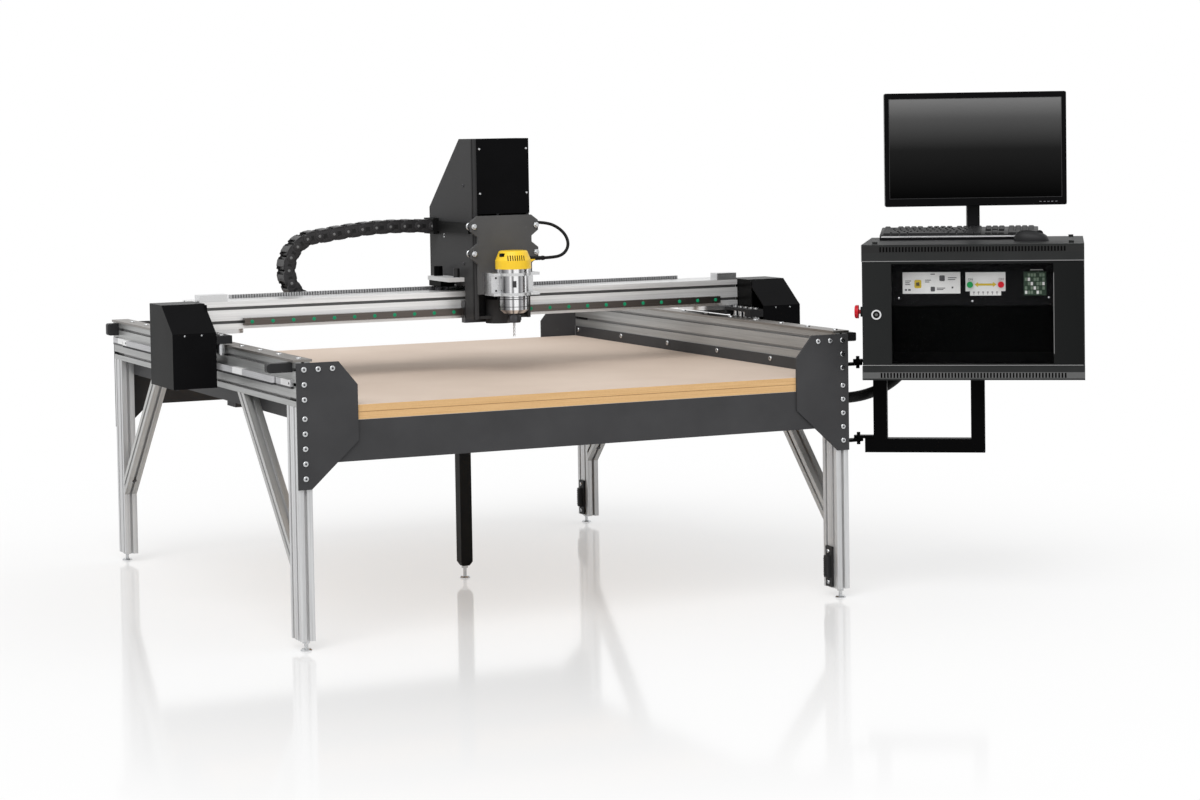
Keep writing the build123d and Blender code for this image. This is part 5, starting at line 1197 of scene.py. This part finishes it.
boltRows = {
    "column": (0.71845, 0.68035, 0.64225, 0.59345, 0.55535, 0.51725, 0.47915, 0.44105),
    "columnX": 0.78105, "row": (0.74295, 0.70485), "cornerY": 0.87375, "trackFirst": -0.8316,
    "trackPitch": 0.1552, "trackCount": 11, "trackZ": 0.74765, "anglePitch": 0.333, "angleCount": 6,
    "angleX": 0.7534, "radius": 0.0031, "braceY": 0.755, "braceRadius": 0.0070,
}


def buildSocketShadows():
    # painted shade: a dark six-sided floor in the socket of each frame bolt, and dark bolt discs at
    # the braces' feet for the shade in their bolt holes
    pile = Pile()
    columnX, braceY, angleCount = (boltRows[key] for key in ("columnX", "braceY", "angleCount"))
    sideways = np.array([1.0, 0.0, 0.0])

    def socket(axis, centre, facing=1):
        levels = facing * np.array([-0.0014, -0.0004])
        pile.loft(lathe([boltRows["radius"]] * 2, levels, axis, centre, 6))

    for side in (-1, 1):
        for end in (-1, 1):
            down = np.array([0.0, -end, -1.0]) / math.sqrt(2)
            foot = np.array([side * columnX, end * braceY, braceLine - braceY]) + down * barWide / 2
            ring = circle(16) * boltRows["braceRadius"]
            ring = foot + ring[:, :1] * sideways + ring[:, 1:] * np.cross(down, sideways)
            pile.loft([ring - 0.0010 * down, ring + 0.0006 * down])
            heads = [(columnX, z) for z in boltRows["column"]]
            heads += [(x, boltRows["column"][0]) for x in boltRows["row"]]
            for x, z in heads:
                socket("y", (side * x, end * boltRows["cornerY"], z), end)
        for k in range(boltRows["trackCount"]):
            y = boltRows["trackFirst"] + k * boltRows["trackPitch"]
            socket("z", (side * columnX, y, boltRows["trackZ"]))
        for k in range(angleCount):
            y = (k - (angleCount - 1) / 2) * boltRows["anglePitch"]
            socket("x", (side * boltRows["angleX"], y, boltRows["column"][2]), -side)
    addPiece("boltSocketShadows", pile, [finishes["oiledSteelAndShade"]], "base")


handles = {
    "away": 0.8255, "plateFace": 0.755, "screws": (0.043, 0.129), "screwRadius": 0.0062, "gripFace": 0.743,
    "gripMiddle": 0.086, "ridges": 8, "ridgePitch": 0.0062, "ridgeHalf": (0.0072, 0.0013),
}


def buildHandleDetails():
    # two screws on each carrying handle, and ridges across its grip
    pile = Pile()
    levels = (handles["gripFace"] + 0.001, handles["gripFace"] - 0.0012)
    for y in (-handles["away"], handles["away"]):
        for z in handles["screws"]:
            screwHead(pile, (handles["plateFace"], y, z), "x", handles["screwRadius"])
        for k in range(handles["ridges"]):
            z = handles["gripMiddle"] + (k - (handles["ridges"] - 1) / 2) * handles["ridgePitch"]
            low, high = np.subtract((y, z), handles["ridgeHalf"]), np.add((y, z), handles["ridgeHalf"])
            pile.loft(slab(low, high, levels, "x"), 1)
    addPiece("handleScrews", pile, [finishes["zincPlate"], finishes["blackPlastic"]], "base")


buildFixings()
buildSocketShadows()
buildHandleDetails()
print("screws and sockets")


studio = {
    "floorSize": 40.0, "floorShade": 0.93, "lift": 0.36, "shadowReach": 1.5, "whiteReach": 3.0,
    "skyLight": 0.58,
    # name, strength, and spread and turns in degrees
    "suns": (("keySun", 1.75, 50.0, (42.0, -18.0, -20.0)), ("fillSun", 0.35, 80.0, (55.0, 25.0, 60.0))),
}


def buildFloor():
    # one large pale floor that keeps the shadows near the table and is white further out
    half, shade, lift = studio["floorSize"] / 2, studio["floorShade"], studio["lift"]
    mesh = bpy.data.meshes.new("studioFloor")
    corners = rectangle((-half, -half), (half, half))
    mesh.from_pydata([(*corner, 0) for corner in corners], [], [(0, 1, 2, 3)])
    finish = Finish("studioFloorPaint", Specular_IOR_Level=0.7)
    tones = (0.3, grey(shade)), (0.7, grey(min(1.0, shade * 1.01)))
    finish.done(finish.ramp(finish.noise(0.6), *tones), 0.08)
    x, y = finish.axes()[:2]
    away = (x * x + y * y).math("SQRT") - studio["shadowReach"]
    clear = away * (1 / (studio["whiteReach"] - studio["shadowReach"]))
    clear = clear.math("SMOOTH_MAX", 0.0, 0.2).math("SMOOTH_MIN", 1.0, 0.2)
    seen = finish.add("ShaderNodeLightPath", out="Is Camera Ray")
    white = finish.add("ShaderNodeEmission", links={"Color": grey(1.0), "Strength": 1.0})
    paint = Wire(finish.tree, finish.shader.outputs[0])
    links = {0: seen * (clear * (1 - lift) + lift), 1: paint, 2: white}
    both = finish.add("ShaderNodeMixShader", links=links)
    finish.tree.links.new(both.socket, finish.tree.nodes["Material Output"].inputs["Surface"])
    mesh.materials.append(finish.material)
    addObject("studioFloor", mesh)


def buildLight():
    # white surround, full for camera and mirror rays and dimmer for the light it gives, and two soft suns
    world = bpy.data.worlds.new("studioWorld")
    bpy.context.scene.world = world
    world.use_nodes = True
    tree = world.node_tree
    tree.nodes.clear()
    path = tree.nodes.new("ShaderNodeLightPath")
    rays = ("Is Camera Ray", "Is Glossy Ray", "Is Transmission Ray")
    direct = sum(Wire(tree, path.outputs[ray]) for ray in rays).math("MINIMUM", 1.0)
    strength = direct * (1.0 - studio["skyLight"]) + studio["skyLight"]
    back = addNode(tree, "ShaderNodeBackground", links={"Color": grey(1.0), "Strength": strength})
    output = tree.nodes.new("ShaderNodeOutputWorld")
    tree.links.new(back.socket, output.inputs["Surface"])
    for name, energy, spread, turn in studio["suns"]:
        lamp = bpy.data.lights.new(name, "SUN")
        lamp.energy = energy
        lamp.angle = math.radians(spread)
        addObject(name, lamp).rotation_euler = [math.radians(angle) for angle in turn]


photoCamera = {
    "place": (-3.0690, -7.5745, 1.3463), "yaw": 24.940, "pitch": 2.863, "roll": -0.920,
    "focal": 2800.2, "width": 1200.0, "shift": -0.12,
}


def buildCamera():
    # camera turned by yaw, tipped down by pitch, and its frame moved down by a vertical shift
    yaw, pitch, roll = (math.radians(photoCamera[key]) for key in ("yaw", "pitch", "roll"))
    level = np.array([math.sin(yaw), math.cos(yaw), 0.0])
    right = np.array([math.cos(yaw), -math.sin(yaw), 0.0])
    upright = np.array([0.0, 0.0, 1.0])
    ahead = math.cos(pitch) * level - math.sin(pitch) * upright
    up = math.cos(pitch) * upright + math.sin(pitch) * level
    axes = np.eye(4)
    axes[:3, 0] = math.cos(roll) * right + math.sin(roll) * up
    axes[:3, 1] = math.cos(roll) * up - math.sin(roll) * right
    axes[:3, 2] = -ahead
    axes[:3, 3] = photoCamera["place"]
    data = bpy.data.cameras.new("photoCamera")
    data.sensor_width = 36.0
    data.lens = photoCamera["focal"] / photoCamera["width"] * data.sensor_width
    data.shift_y = photoCamera["shift"]
    data.clip_end = 200.0
    camera = addObject("photoCamera", data)
    camera.matrix_world = Matrix(axes.tolist())
    bpy.context.scene.camera = camera


buildFloor()
buildLight()
buildCamera()
bpy.context.scene.view_settings.view_transform = "Standard"
print("stage and camera")
